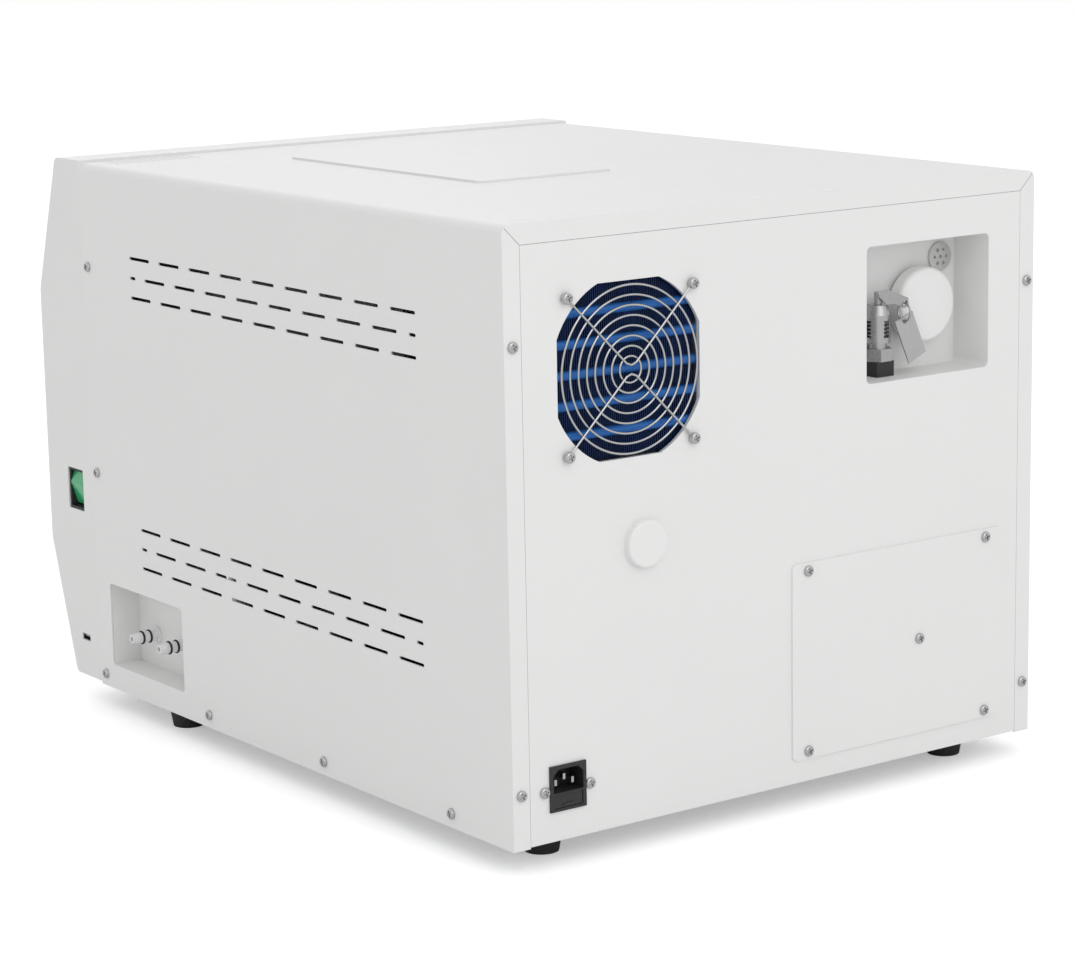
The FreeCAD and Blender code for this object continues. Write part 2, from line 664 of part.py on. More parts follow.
def condenser_frame():
    """Two end plates and a top and bottom strip, open where the air passes."""
    rear = -(d.wall * 2 + d.seam) - d.side_gap
    deep = d.fin_deep + 4
    half = d.fin_pitch * d.fin_count / 2 + 1
    high = d.fin_high / 2 + 1
    outer = block("condenser_outer", (d.fan_x - half - 1.2, rear - deep, d.fan_z - high - 1.2),
                  (d.fan_x + half + 1.2, rear, d.fan_z + high + 1.2))
    inner = block("condenser_inner", (d.fan_x - half, rear - deep * 2, d.fan_z - high),
                  (d.fan_x + half, d.lap, d.fan_z + high))
    y = -(d.wall * 2 + d.seam + 3) - 1
    bores = [rod("tube_bore", "x", d.tube_radius + 0.1, (d.fan_x - half * 2, y, z), half * 4)
             for z in tube_heights()]
    return cut("condenser_frame_plates", outer, inner, *bores)


def fan_frame_and_rotor():
    rear = -(d.wall * 2 + d.seam) - d.side_gap * 2 - d.fin_deep - 4
    half = d.fan_size / 2
    box = block("fan_box", (d.fan_x - half, rear - d.fan_thick, d.fan_z - half),
                (d.fan_x + half, rear, d.fan_z + half))
    duct = rod("fan_duct", "y", d.blade_reach + d.fan_clear, (d.fan_x, rear - d.fan_thick * 2, d.fan_z),
               d.fan_thick * 3)
    shell = cut("fan_shell", box, duct)
    arms = [block("fan_arm", (d.fan_x - half + 1, rear - 3, d.fan_z - 3),
                  (d.fan_x + half - 1, rear, d.fan_z + 3)),
            block("fan_arm", (d.fan_x - 3, rear - 3, d.fan_z - half + 1),
                  (d.fan_x + 3, rear, d.fan_z + half - 1)),
            rod("fan_motor", "y", d.hub_radius, (d.fan_x, rear - 3, d.fan_z), 3),
            rod("fan_spindle", "y", 2.5, (d.fan_x, rear - 16, d.fan_z), 14)]
    frame = joined("fan_frame_moulding", shell, *arms)
    hub_rear = (rear - 3 - d.fan_clear).value
    axis = FreeCAD.Vector(0, 1, 0)
    spindle = at(d.fan_x, 0, d.fan_z)
    hub = Part.makeCylinder(d.hub_radius.value, 18, spindle + axis * (hub_rear - 18), axis)
    hub = hub.cut(Part.makeCylinder(2.5 + d.running.value, 14, spindle + axis * (hub_rear - 12.6), axis))
    reach = d.blade_reach.value - d.hub_radius.value + 3
    blades = []
    for i in range(7):
        blade = Part.makeBox(reach, 1.6, 20, FreeCAD.Vector(0, -0.8, -10))
        blade.rotate(FreeCAD.Vector(), FreeCAD.Vector(1, 0, 0), 48)
        blade.translate(FreeCAD.Vector(d.hub_radius.value - 3, hub_rear - 9, 0))
        blade.rotate(FreeCAD.Vector(), axis, 360.0 * i / 7)
        blade.translate(spindle)
        blades.append(blade)
    return frame, made("fan_rotor_moulding", hub.fuse(blades))


def inlet():
    """Mains inlet body, its three pins and the fuse drawer below them."""
    left, right = d.inlet_x - d.inlet_width / 2, d.inlet_x + d.inlet_width / 2
    flange = block("inlet_flange", (left, 0, d.inlet_low), (right, d.inlet_proud, d.inlet_high))
    skin = -(d.wall * 2 + d.seam)
    ears = block("inlet_ears", (left - 9, skin - 2, d.inlet_screw_z - 5.5),
                 (right + 9, skin, d.inlet_screw_z + 5.5))
    trunk = block("inlet_trunk", (left + 1.3, -d.inlet_deep, d.inlet_low + 1.3),
                  (right - 1.3, 0, d.inlet_high - 1.3))
    body = joined("inlet_solid", flange, ears, trunk)
    cavity = new_body("inlet_cavity")
    mouth = new_sketch(cavity, "XZ_Plane", -d.inlet_proud * 2)
    wide = 12.4
    low, high = d.drawer_top + 1.2, d.inlet_high - 2.6
    outline(mouth, (d.inlet_x - wide, low), (d.inlet_x + wide, low), (d.inlet_x + wide, high - 4.2),
            (d.inlet_x + wide - 4.2, high), (d.inlet_x - wide + 4.2, high), (d.inlet_x - wide, high - 4.2))
    pad(cavity, mouth, d.cavity_deep + d.inlet_proud)
    drawer_hole = block("drawer_hole", (d.inlet_x - 12, -d.inlet_deep + 2, d.inlet_low + 2),
                        (d.inlet_x + 12, d.inlet_proud * 2, d.drawer_top))
    bores = [rod("inlet_bore", "y", d.screw_radius, (d.inlet_x + d.inlet_ears * i, -d.inlet_deep, d.inlet_screw_z),
                 d.inlet_deep * 2)
             for i in (-1, 1)]
    body = cut("inlet_housing", body, cavity, drawer_hole, *bores)
    clear = 0.3
    drawer = joined("drawer_pull", block("drawer_body", (d.inlet_x - 12 + clear, -d.inlet_deep + 3,
                                                        d.inlet_low + 2 + clear),
                                         (d.inlet_x + 12 - clear, d.inlet_proud - 0.6, d.drawer_top - clear)),
                    block("drawer_lip", (d.inlet_x - 4, 0, d.inlet_low + 3.5),
                          (d.inlet_x + 4, d.inlet_proud, d.inlet_low + 5)))
    pins = []
    for i, rise in ((-1, 0), (0, d.pin_rise), (1, 0)):
        x = d.inlet_x + d.pin_pitch / 2 * i
        z = d.pin_z + rise
        pins.append(block("inlet_pin", (x - 1, d.inlet_proud - d.cavity_deep, z - 2), (x + 1, -3.5, z + 2)))
    return body, together("inlet_pin_set", *pins), drawer


keep("cover_screws", cover_screws())
keep("rear_screws", rear_screws())
keep("fan_guard", fan_guard())
keep("condenser_fins", fin_block())
keep("condenser_tubes", condenser_tubes())
keep("condenser_frame", condenser_frame())
for name, thing in zip(("fan_frame", "fan_rotor"), fan_frame_and_rotor()):
    keep(name, thing)
for name, thing in zip(("inlet_body", "inlet_pins", "fuse_drawer"), inlet()):
    keep(name, thing)


def air_filter():
    """A round bacterial filter on a short hose nipple that stands on the recess's back wall."""
    body = new_body("air_filter_disc")
    rear = -d.filter_rear
    disc = new_sketch(body, "XZ_Plane", d.filter_rear)
    circle(disc, -d.filter_x, d.filter_z, d.filter_radius)
    disc_pad = pad(body, disc, d.filter_thick)
    doc.recompute()
    rims = ["Edge%d" % (i + 1) for i, edge in enumerate(disc_pad.Shape.Edges)
            if edge.Curve.TypeId == "Part::GeomCircle"]
    rounding = body.newObject("PartDesign::Fillet", "rounding")
    rounding.Base = (disc_pad, rims)
    bind(rounding, Radius=d.filter_thick / 4)
    nipple = rod("filter_nipple", "y", 6.0, (-d.filter_x, -d.recess_depth + 0.3, d.filter_z),
                 d.recess_depth + rear - d.filter_thick + 0.7)
    return joined("air_filter_moulding", body, nipple)


def vent_disc():
    """A small plate with one hole in the middle and six round it, on the recess's back wall."""
    body = new_body("vent_disc_plate")
    face = new_sketch(body, "XZ_Plane", d.recess_depth - 2.0)
    circle(face, -d.vent_x, d.vent_z, d.vent_radius)
    circle(face, -d.vent_x, d.vent_z, 1.3)
    for i in range(6):
        angle = math.radians(60 * i)
        circle(face, -d.vent_x + 5.6 * math.cos(angle), d.vent_z + 5.6 * math.sin(angle), 1.3)
    pad(body, face, 2.0)
    return body


def safety_valve():
    """Spring valve on a black base; its lever pivots in the cap, a ring hangs the tag from it."""
    x, y, floor = -d.valve_x, -d.valve_y, d.recess_low
    base = block("valve_base_block", (x - 8, y - 8, floor), (x + 8, y + 8, floor + 11))
    nut = doc.addObject("Part::Prism", "valve_hexagon")
    nut.Polygon = 6
    bind(nut, Circumradius=10.5, Height=9)
    place(nut, x, y, floor + 11)
    column = [rod("valve_neck", "z", 6.5, (x, y, floor + 20), 4),
              rod("valve_cage", "z", 9, (x, y, floor + 24), 20),
              rod("valve_cap", "z", 9, (x, y, floor + 44), 7, 7.5),
              rod("valve_stem", "z", 3, (x, y, floor + 51), 9)]
    body = joined("valve_solid", nut, *column)
    slots = [block("cage_slot", (x - 2.2, y - 12, floor + 28), (x + 2.2, y + 12, floor + 40)),
             block("cage_slot", (x - 12, y - 2.2, floor + 28), (x + 12, y + 2.2, floor + 40))]
    pivot = rod("lever_pin", "y", 1.5, (x, y, floor + 57), d.valve_y - d.tag_y + 1)
    spring = rod("valve_spring", "z", 4.5, (x, y, floor + 24), 20)
    body = joined("valve_body", cut("valve_slotted", body, *slots), pivot, spring)
    lever = new_body("valve_lever")
    arm = new_sketch(lever, "XZ_Plane", d.tag_y - 1)
    eye_x, eye_z = -d.eye_x, d.eye_z
    outline(arm, (x + 10, floor + 58), (x + 12, floor + 62), (x + 2, floor + 63), (eye_x - 3, eye_z + 3.5),
            (eye_x - 3.5, eye_z - 3), (eye_x + 1, eye_z - 3.5), (x - 3, floor + 52.5), (x + 3, floor + 52.5))
    circle(arm, x, floor + 57, 1.5 + d.running / 2)
    circle(arm, eye_x, eye_z, 2.0)
    pad(lever, arm, 2.0)
    ring = hoop("split_ring", "x", 6.5, 0.7, (eye_x, -d.tag_y, eye_z - 6.5))
    tag = new_body("valve_tag")
    plate = new_sketch(tag, "XZ_Plane", d.tag_y - 0.5)
    hole_z = eye_z - 13.0
    outline(plate, (eye_x - 7.5, hole_z + 6.5), (eye_x - 20.5, hole_z - 24), (eye_x - 4.5, hole_z - 31),
            (eye_x + 9, hole_z + 0))
    circle(plate, eye_x, hole_z, 2.0)
    pad(tag, plate, 1.0)
    return base, body, lever, ring, tag


def niche_box():
    """The pressed niche in the side, with a lip that lies behind the cover."""
    inside = side - d.niche_depth
    skin = inner_side - d.side_gap
    sheet_thick = d.wall
    outer = block("niche_outer", (inside - sheet_thick, -d.niche_front - sheet_thick,
                                  d.niche_low - sheet_thick),
                  (skin, -d.niche_rear + sheet_thick, d.niche_high + sheet_thick))
    lip = block("niche_lip", (skin - sheet_thick, -d.niche_front - 8, d.niche_low - sheet_thick),
                (skin, -d.niche_rear + 8, d.niche_high + 8))
    room = block("niche_room", (inside, -d.niche_front, d.niche_low), (side, -d.niche_rear, d.niche_high))
    return cut("niche_pressing", joined("niche_solid", outer, lip), room)


def connectors():
    """Two barbed quick connectors that stand on the niche's inner wall, with two seals each."""
    inside = side - d.niche_depth
    stubs, seals = [], []
    for y in (-d.stub_one_y, -d.stub_two_y):
        parts = [rod("stub_flange", "x", d.stub_radius + 2.4, (inside, y, d.stub_z), 2.5),
                 rod("stub_barrel", "x", d.stub_radius, (inside, y, d.stub_z), d.stub_length - 5),
                 rod("stub_nose", "x", d.stub_radius, (inside + d.stub_length - 5, y, d.stub_z), 5,
                     d.stub_tip_radius)]
        bore = rod("stub_bore", "x", 2.2, (inside + 3, y, d.stub_z), d.stub_length)
        grooves = [hoop("seal_groove", "x", d.ring_radius - d.ring_section, d.ring_section,
                        (inside + reach, y, d.stub_z)) for reach in (8.5, 15.0)]
        stubs.append(cut("stub", joined("stub_solid", *parts), bore, *grooves))
        seals += [hoop("seal", "x", d.ring_radius - d.ring_section + d.running / 2,
                       d.ring_section - d.running / 2, (inside + reach, y, d.stub_z))
                  for reach in (8.5, 15.0)]
    return together("water_connector_pair", *stubs), together("connector_seal_set", *seals)


def power_switch():
    """A framed rocker in the bezel's pocket; it pivots on an axis along y."""
    mid_z = (d.switch_low + d.switch_high) / 2
    mid_y = -(d.switch_front + d.switch_rear) / 2
    deep = side - 26
    fit = 0.2
    shell = block("switch_shell", (deep, -d.switch_front + fit, d.switch_low + fit),
                  (side - 1.2, -d.switch_rear - fit, d.switch_high - fit))
    room = block("switch_room", (deep + 6, mid_y - d.rocker_width / 2 - 3.6, mid_z - d.rocker_tall / 2 - 1.8),
                 (side + 2, mid_y + d.rocker_width / 2 + 3.6, mid_z + d.rocker_tall / 2 + 1.8))
    pivots = [rod("switch_pivot", "y", 1.5, (side - 12, y, mid_z), 1.5)
              for y in (mid_y - d.rocker_width / 2 - 3.8, mid_y + d.rocker_width / 2 + 2.3)]
    frame = joined("switch_frame", cut("switch_case", shell, room), *pivots)
    rocker = new_body("rocker")
    wide = d.rocker_width + 6.4
    shape = new_sketch(rocker, "XZ_Plane", -mid_y - wide / 2)
    half = d.rocker_tall / 2
    outline(shape, (side - 15, mid_z - 5), (side - 8.5, mid_z - half), (side - 6.5, mid_z - half),
            (side - 0.9, mid_z + 4.5, 0.8), (side - 4.6, mid_z + half), (side - 7.0, mid_z + half),
            (side - 15, mid_z + 5))
    pad(rocker, shape, wide)
    bores = new_sketch(rocker, "XZ_Plane", -mid_y)
    circle(bores, side - 12, mid_z, 1.5 + d.running)
    pocket(rocker, bores, wide * 2, midplane=True)
    return frame, rocker


def usb_socket():
    """A plain four-contact data socket: a tin shell with a tongue in it."""
    fit = 0.15
    low = (side - d.usb_deep, -d.usb_front + fit, d.usb_low + fit)
    high = (side - 0.6, -d.usb_rear - fit, d.usb_high - fit)
    shell = block("usb_shell", low, high)
    room = block("usb_room", (low[0] + 1, low[1] + 0.5, low[2] + 0.5), (side, high[1] - 0.5, high[2] - 0.5))
    tongue = block("usb_tongue", (low[0] + 0.5, low[1] + 0.9, low[2] + 2.9),
                   (side - 2.0, high[1] - 0.9, high[2] - 0.9))
    return joined("usb_parts", cut("usb_can", shell, room), tongue)


def port_cap():
    body = new_body("port_cap_disc")
    sketch = new_sketch(body, "XZ_Plane", -d.cap_proud)
    circle(sketch, d.cap_x, d.cap_z, d.cap_radius)
    disc = pad(body, sketch, d.cap_proud)
    doc.recompute()
    rims = ["Edge%d" % (i + 1) for i, edge in enumerate(disc.Shape.Edges)
            if edge.Curve.TypeId == "Part::GeomCircle" and edge.CenterOfMass.y > d.cap_proud.value / 2]
    rounding = body.newObject("PartDesign::Fillet", "rounding")
    rounding.Base = (disc, rims)
    bind(rounding, Radius=d.cap_proud / 3)
    stem = new_sketch(body, "XZ_Plane")
    circle(stem, d.cap_x, d.cap_z, d.cap_radius - 2.2)
    pad(body, stem, 8)
    return body


d.add(foot_front=97.0, foot_front_inset=23.0, foot_rear=38.0, foot_rear_inset=50.0)


def feet():
    """Four tapered rubber feet under the base's corners."""
    shapes = []
    for y, inset in ((-d.case_depth + d.foot_front, d.foot_front_inset), (-d.foot_rear, d.foot_rear_inset)):
        for x in (-side + inset, side - inset):
            shapes.append(rod("foot", "z", 12.0, (x, y, -d.foot_height), d.foot_height, 15.0))
    return together("rubber_feet", *shapes)


def tank_lid():
    """A lift-off lid: a plate on the cover with a skirt that drops into the opening."""
    lid = block("lid_plate", (-d.lid_left, -d.lid_front, top),
                (d.lid_right, -d.lid_rear, top + d.lid_thick))
    rim = d.lid_rim + d.lid_gap
    skirt_low = top - d.lid_skirt
    outer = block("lid_skirt", (-d.lid_left + rim + 1, -d.lid_front + rim + 1, skirt_low),
                  (d.lid_right - rim - 1, -d.lid_rear - rim - 1, top))
    inner = block("lid_skirt_room", (-d.lid_left + rim + 3, -d.lid_front + rim + 3, skirt_low - 1),
                  (d.lid_right - rim - 3, -d.lid_rear - rim - 3, top))
    rounded = doc.addObject("Part::Fillet", "lid_rounded")
    doc.recompute()
    rounded.Base = lid
    upright = [i + 1 for i, edge in enumerate(lid.Shape.Edges)
               if abs(edge.tangentAt(edge.FirstParameter).z) > 0.9]
    rounded.Edges = [(i, d.lid_corner.value, d.lid_corner.value) for i in upright]
    return cut("lid_moulding", joined("lid_solid", rounded, outer), inner)


keep("air_filter", air_filter())
keep("vent_disc", vent_disc())
for name, thing in zip(("valve_base", "safety_valve", "valve_test_lever", "tag_ring", "valve_tag"),
                       safety_valve()):
    keep(name, thing)
keep("water_niche", niche_box())
for name, thing in zip(("water_connectors", "connector_seals"), connectors()):
    keep(name, thing)
for name, thing in zip(("power_switch_frame", "power_rocker"), power_switch()):
    keep(name, thing)
keep("usb_port", usb_socket())
keep("port_cap", port_cap())
keep("rubber_foot_set", feet())
keep("tank_lid", tank_lid())

d.add(arm_low=135.0, arm_high=225.0, arm_half=10.0, strap=6.0, crank=12.0, crank_turn=30.0,
      crank_pin=2.0, slide_y=-609.0, slide_thick=6.0, bolt_low=110.0, bolt_high=210.0, door_inset=2.0,
      panel_left=28.0, panel_right=204.0, panel_up=16.0, panel_tall=74.0, panel_thick=4.0,
      button_radius=6.0, button_gap=0.35, button_pitch=22.0, button_thick=3.8, button_lift=1.6,
      tray_wide=178.0, tray_long=376.0, tray_tall=18.0, tray_sheet=1.0, tray_pitch=44.0,
      rack_half=95.0, rack_tall=70.0, runner=5.2, shelf_z=300.0, tank_wall=3.0, tank_split=106.0,
      tank_right=176.0, tank_front=486.0, tank_rear=206.0)

cx, cz = d.chamber_x, d.chamber_z
flange_rear = d.chamber_front + d.flange_thick
plate_rear = d.chamber_front - d.gasket_gap
plate_front = plate_rear - d.plate_thick


def chamber():
    """The pressure vessel: a tube with a dished rear end and a thick front flange."""
    radius, wall = d.chamber_bore, d.chamber_wall
    long = d.chamber_rear - d.chamber_front
    outer = [rod("vessel_tube", "y", radius + wall, (cx, d.chamber_front, cz), long),
             rod("vessel_flange", "y", d.flange_radius, (cx, d.chamber_front, cz), d.flange_thick),
             rod("vessel_dish", "y", radius + wall, (cx, d.chamber_rear, cz), d.cap_dish, radius * 0.6)]
    inner = [rod("vessel_bore", "y", radius, (cx, d.chamber_front - 1, cz), long + 1),
             rod("vessel_dish_bore", "y", radius, (cx, d.chamber_rear, cz), d.cap_dish - wall, radius * 0.62)]
    return cut("pressure_vessel", joined("vessel_solid", *outer), *inner)


def insulation():
    start = d.chamber_front + 112
    long = d.chamber_rear - d.chamber_front - 210
    blanket = rod("blanket", "y", d.chamber_bore + d.chamber_wall + 10, (cx, start, cz), long)
    return cut("vessel_blanket", blanket, rod("blanket_bore", "y", d.chamber_bore + d.chamber_wall + 0.3,
                                              (cx, start - 1, cz), long + 2))


def saddles():
    shapes = []
    bed = rod("saddle_bed", "y", d.chamber_bore + d.chamber_wall + d.side_gap, (cx, d.chamber_front, cz), d.case_depth)
    for y in (d.chamber_front + 92, d.chamber_rear - 90):
        plate = block("saddle_plate", (cx - 92, y, d.base_sheet), (cx + 92, y + 8, cz - 70))
        shapes.append(cut("saddle", plate, bed))
    return together("vessel_saddles", *shapes)


def tray_rack():
    """Two slotted side plates on round runners, tied by bars at both ends."""
    front, rear = d.chamber_front + 14, d.chamber_rear - 20
    parts = []
    for hand in (-1, 1):
        x = cx + d.rack_half * hand
        parts.append(block("rack_side", (x - 0.8, front, cz - d.rack_tall), (x + 0.8, rear, cz + d.rack_tall)))
        parts.append(rod("rack_runner", "y", d.runner, (x, front, cz - d.rack_tall), rear - front))
        for level in range(3):
            z = cz - d.rack_tall + 18 + d.tray_pitch * level
            near, far = (x - 0.8 - 7, x) if hand > 0 else (x, x + 0.8 + 7)
            parts.append(block("rack_ledge", (near, front, z), (far, rear, z + 1.2)))
    for y in (front, rear - 4):
        parts.append(block("rack_tie", (cx - d.rack_half, y, cz - d.rack_tall - 2),
                           (cx + d.rack_half, y + 4, cz - d.rack_tall + 6)))
    return joined("rack_frame", *parts)


def trays():
    """Three open trays that rest on the rack's ledges."""
    shapes = []
    front = d.chamber_front + 22
    half = d.tray_wide / 2
    for level in range(3):
        z = cz - d.rack_tall + 18 + d.tray_pitch * level + 1.2
        pan = block("tray_pan", (cx - half, front, z), (cx + half, front + d.tray_long, z + d.tray_tall))
        room = block("tray_room", (cx - half + d.tray_sheet, front + d.tray_sheet, z + d.tray_sheet),
                     (cx + half - d.tray_sheet, front + d.tray_long - d.tray_sheet, z + d.tray_tall * 2))
        shapes.append(cut("tray", pan, room))
    return together("tray_set", *shapes)


def door_cover():
    body = new_body("door_cover_shell")
    low, high = d.door_low + d.door_inset, d.door_high - d.door_inset
    left, right = d.door_left + d.door_inset, d.door_right - d.door_inset
    wall = d.cover_wall
    for inset, feature in ((0, pad), (wall, pocket)):
        profile = new_sketch(body, "YZ_Plane", left + inset)
        rear = plate_rear if inset == 0 else plate_rear + 4
        outline(profile, (rear, low + inset), (rear, high - inset), (-d.cover_front + inset, high - inset, 10),
                (-d.cover_front + inset, d.bezel_knee_low, 20), (-d.cover_front + 28 + inset, low + inset, 6))
        if feature is pad:
            pad(body, profile, right - left)
        else:
            pocket(body, profile, right - left - wall * 2, reverse=True)
    strap_front = -d.cover_front + wall
    slots = new_sketch(body, "YZ_Plane", left)
    for z in (d.arm_low, d.arm_high):
        outline(slots, *frame_of(strap_front - 0.2, z - d.arm_half - 0.5, strap_front + d.strap + 1.5,
                                 z + d.arm_half + 0.5))
    pocket(body, slots, wall * 2, reverse=True)
    holes = new_sketch(body, "YZ_Plane", right)
    for z in (d.bolt_low, d.bolt_high):
        circle(holes, d.slide_y, z, d.bolt_radius + 0.5)
    pocket(body, holes, wall * 2)
    shaft = new_sketch(body, "XZ_Plane", d.cover_front)
    circle(shaft, d.knob_x, d.knob_z, d.knob_shaft + d.running)
    pocket(body, shaft, wall * 2)
    return body


def door_plate():
    disc = rod("door_disc", "y", d.plate_radius, (cx, plate_front, cz), d.plate_thick)
    groove = cut("door_groove", rod("groove_out", "y", d.gasket_radius + d.gasket_wide / 2 + 0.2,
                                    (cx, plate_rear - 2, cz), 3),
                 rod("groove_in", "y", d.gasket_radius - d.gasket_wide / 2 - 0.2, (cx, plate_rear - 3, cz), 5))
    return cut("door_plate_disc", disc, groove)


def door_gasket():
    deep = d.gasket_gap + 2 - 0.3
    return cut("gasket_ring", rod("gasket_out", "y", d.gasket_radius + d.gasket_wide / 2,
                                  (cx, plate_rear - 2, cz), deep),
               rod("gasket_in", "y", d.gasket_radius - d.gasket_wide / 2, (cx, plate_rear - 3, cz), deep + 2))


def door_arm():
    """Two knuckled straps on one upright, bolted to the door plate."""
    strap_front = -d.cover_front + d.cover_wall + 0.3
    parts, bores = [], []
    for z in (d.arm_low, d.arm_high):
        low = z - d.arm_half
        parts.append(rod("arm_knuckle", "z", d.knuckle, (d.hinge_x, d.hinge_y, low), d.arm_half * 2))
        parts.append(block("arm_strap", (d.hinge_x, strap_front, low),
                           (-150, strap_front + d.strap, z + d.arm_half)))
    parts.append(block("arm_upright", (-162, strap_front, d.arm_low - d.arm_half),
                       (-150, plate_front, d.arm_high + d.arm_half)))
    bore = rod("arm_bore", "z", d.pin_radius + d.running / 2, (d.hinge_x, d.hinge_y, 0), d.case_height)
    return cut("door_arm_steel", joined("arm_solid", *parts), bore)


def hinge_bracket():
    """An upright plate beside the vessel's flange with a knuckle above and below the door's arms."""
    plate_left, plate_right = d.hinge_x - 14, d.hinge_x - 9.5
    low, high = d.arm_low - d.arm_half - 0.3, d.arm_high + d.arm_half + 0.3
    parts = [block("bracket_plate", (plate_left, d.hinge_y, low - 14), (plate_right, flange_rear + 6, high + 14)),
             block("bracket_foot", (plate_left, flange_rear, cz - 22), (cx - d.flange_radius + 12,
                                                                      flange_rear + 6, cz + 22))]
    for z in (low - 14, high):
        parts.append(rod("bracket_knuckle", "z", d.knuckle, (d.hinge_x, d.hinge_y, z), 14))
        parts.append(block("bracket_web", (plate_left, d.hinge_y - 5, z), (d.hinge_x, d.hinge_y + 5, z + 14)))
    bore = rod("bracket_bore", "z", d.pin_radius, (d.hinge_x, d.hinge_y, 0), d.case_height)
    cap = rod("vessel_seat", "y", d.chamber_bore + d.chamber_wall + d.side_gap, (cx, d.chamber_front, cz), 60)
    return cut("hinge_bracket_steel", joined("bracket_solid", *parts), bore, cap)


def hinge_pin():
    low, high = d.arm_low - d.arm_half - 14, d.arm_high + d.arm_half + 14
    return joined("hinge_pin_steel",
                  rod("pin_bar", "z", d.pin_radius, (d.hinge_x, d.hinge_y, low), high - low + 1),
                  rod("pin_head", "z", d.pin_radius + 2, (d.hinge_x, d.hinge_y, high + 0.3), 2.5))


def door_handle():
    """A bar grip on a shaft whose crank pin drives the lock slide."""
    slide_rear = d.slide_y + d.slide_thick / 2
    turn = math.radians(d.crank_turn.value)
    front = -d.cover_front - 14
    parts = [rod("handle_shaft", "y", d.knob_shaft, (d.knob_x, front, d.knob_z), slide_rear - front + 3.5),
             rod("handle_boss", "y", 16, (d.knob_x, front, d.knob_z), 13.4),
             block("handle_grip", (d.knob_x - 52, front - 12, d.knob_z - 9), (d.knob_x + 18, front, d.knob_z + 9)),
             rod("crank_disc", "y", d.crank + 4, (d.knob_x, slide_rear + 0.5, d.knob_z), 3),
             rod("crank_pin", "y", d.crank_pin, (d.knob_x - d.crank * math.sin(turn), d.slide_y - 1,
                                                 d.knob_z + d.crank * math.cos(turn)), d.slide_thick / 2 + 3)]
    return joined("door_handle_moulding", *parts)


def lock_slide():
    """A yoke with a tall slot for the crank pin and a bolt at each end."""
    low_y, high_y = d.slide_y - d.slide_thick / 2, d.slide_y + d.slide_thick / 2
    pin_x = d.knob_x - d.crank * math.sin(math.radians(d.crank_turn.value))
    yoke = block("slide_yoke", (pin_x - 22, low_y, d.bolt_low - 8), (pin_x + 20, high_y, d.bolt_high + 8))
    clear = d.knob_shaft + 1.5
    shaft_room = block("slide_shaft_room", (d.knob_x - clear - d.bolt_travel, low_y - 1, d.knob_z - clear),
                       (d.knob_x + clear, high_y + 1, d.knob_z + clear))
    slot = block("slide_slot", (pin_x - d.crank_pin - 0.35, low_y - 1, d.knob_z + d.crank * 0.75 - 3),
                 (pin_x + d.crank_pin + 0.35, high_y + 1, d.knob_z + d.crank + 4))
    bolts = [rod("slide_bolt", "x", d.bolt_radius, (pin_x + 15, d.slide_y, z), d.door_right - 4 - pin_x - 15)
             for z in (d.bolt_low, d.bolt_high)]
    return joined("lock_slide_steel", cut("slide_plate", yoke, shaft_room, slot), *bolts)


def lock_strike():
    """A bored plate on the vessel's flange that takes the bolts."""
    left = d.door_right + 4
    plate = block("strike_plate", (left, d.slide_y - 9, d.bolt_low - 14), (left + 6, flange_rear + 6,
                                                                          d.bolt_high + 14))
    foot = block("strike_foot", (cx + d.flange_radius - 12, flange_rear, cz - 22),
                 (left + 6, flange_rear + 6, cz + 22))
    bores = [rod("strike_bore", "x", d.bolt_radius + 0.5, (left - 1, d.slide_y, z), 10)
             for z in (d.bolt_low, d.bolt_high)]
    cap = rod("strike_vessel_seat", "y", d.chamber_bore + d.chamber_wall + d.side_gap, (cx, d.chamber_front, cz), 60)
    return cut("lock_strike_steel", joined("strike_solid", plate, foot), *bores, cap)


panel_lean = math.atan2(d.bezel_front.value - d.bezel_top_run.value,
                        d.case_height.value + d.bezel_proud.value - d.bezel_knee_high.value)
PANEL_TURN = FreeCAD.Rotation(FreeCAD.Vector(1, 0, 0), -math.degrees(panel_lean))


def on_panel(thing, x, out, up):
    """Puts a corner or an axis on the slanted face: out is along its normal, up along its slope."""
    lean, rise = math.sin(panel_lean), math.cos(panel_lean)
    thing.Placement = FreeCAD.Placement(FreeCAD.Vector(), PANEL_TURN.multiply(thing.Placement.Rotation))
    up, out = Size.of(up), Size.of(out)
    place(thing, x, -d.bezel_front + up * lean - out * rise, d.bezel_knee_high + up * rise + out * lean)
    return thing


def panel_block(name, left, right, low, high, base, face):
    box = doc.addObject("Part::Box", name)
    bind(box, Length=right - Size.of(left), Width=face - Size.of(base), Height=high - Size.of(low))
    return on_panel(box, left, face, low)


def button_places():
    middle = d.panel_right - 40
    up = d.panel_up + d.panel_tall / 2
    half = d.button_pitch / 2
    return {"start_button": (middle - half, up + half), "stop_button": (middle + half, up + half),
            "up_button": (middle - half, up - half), "down_button": (middle + half, up - half)}


def panel_rod(name, radius, x, up, base, length):
    bar = doc.addObject("Part::Cylinder", name)
    bind(bar, Radius=radius, Height=length)
    bar.Placement = FreeCAD.Placement(FreeCAD.Vector(), FreeCAD.Rotation(FreeCAD.Vector(1, 0, 0), 90))
    return on_panel(bar, x, base, up)


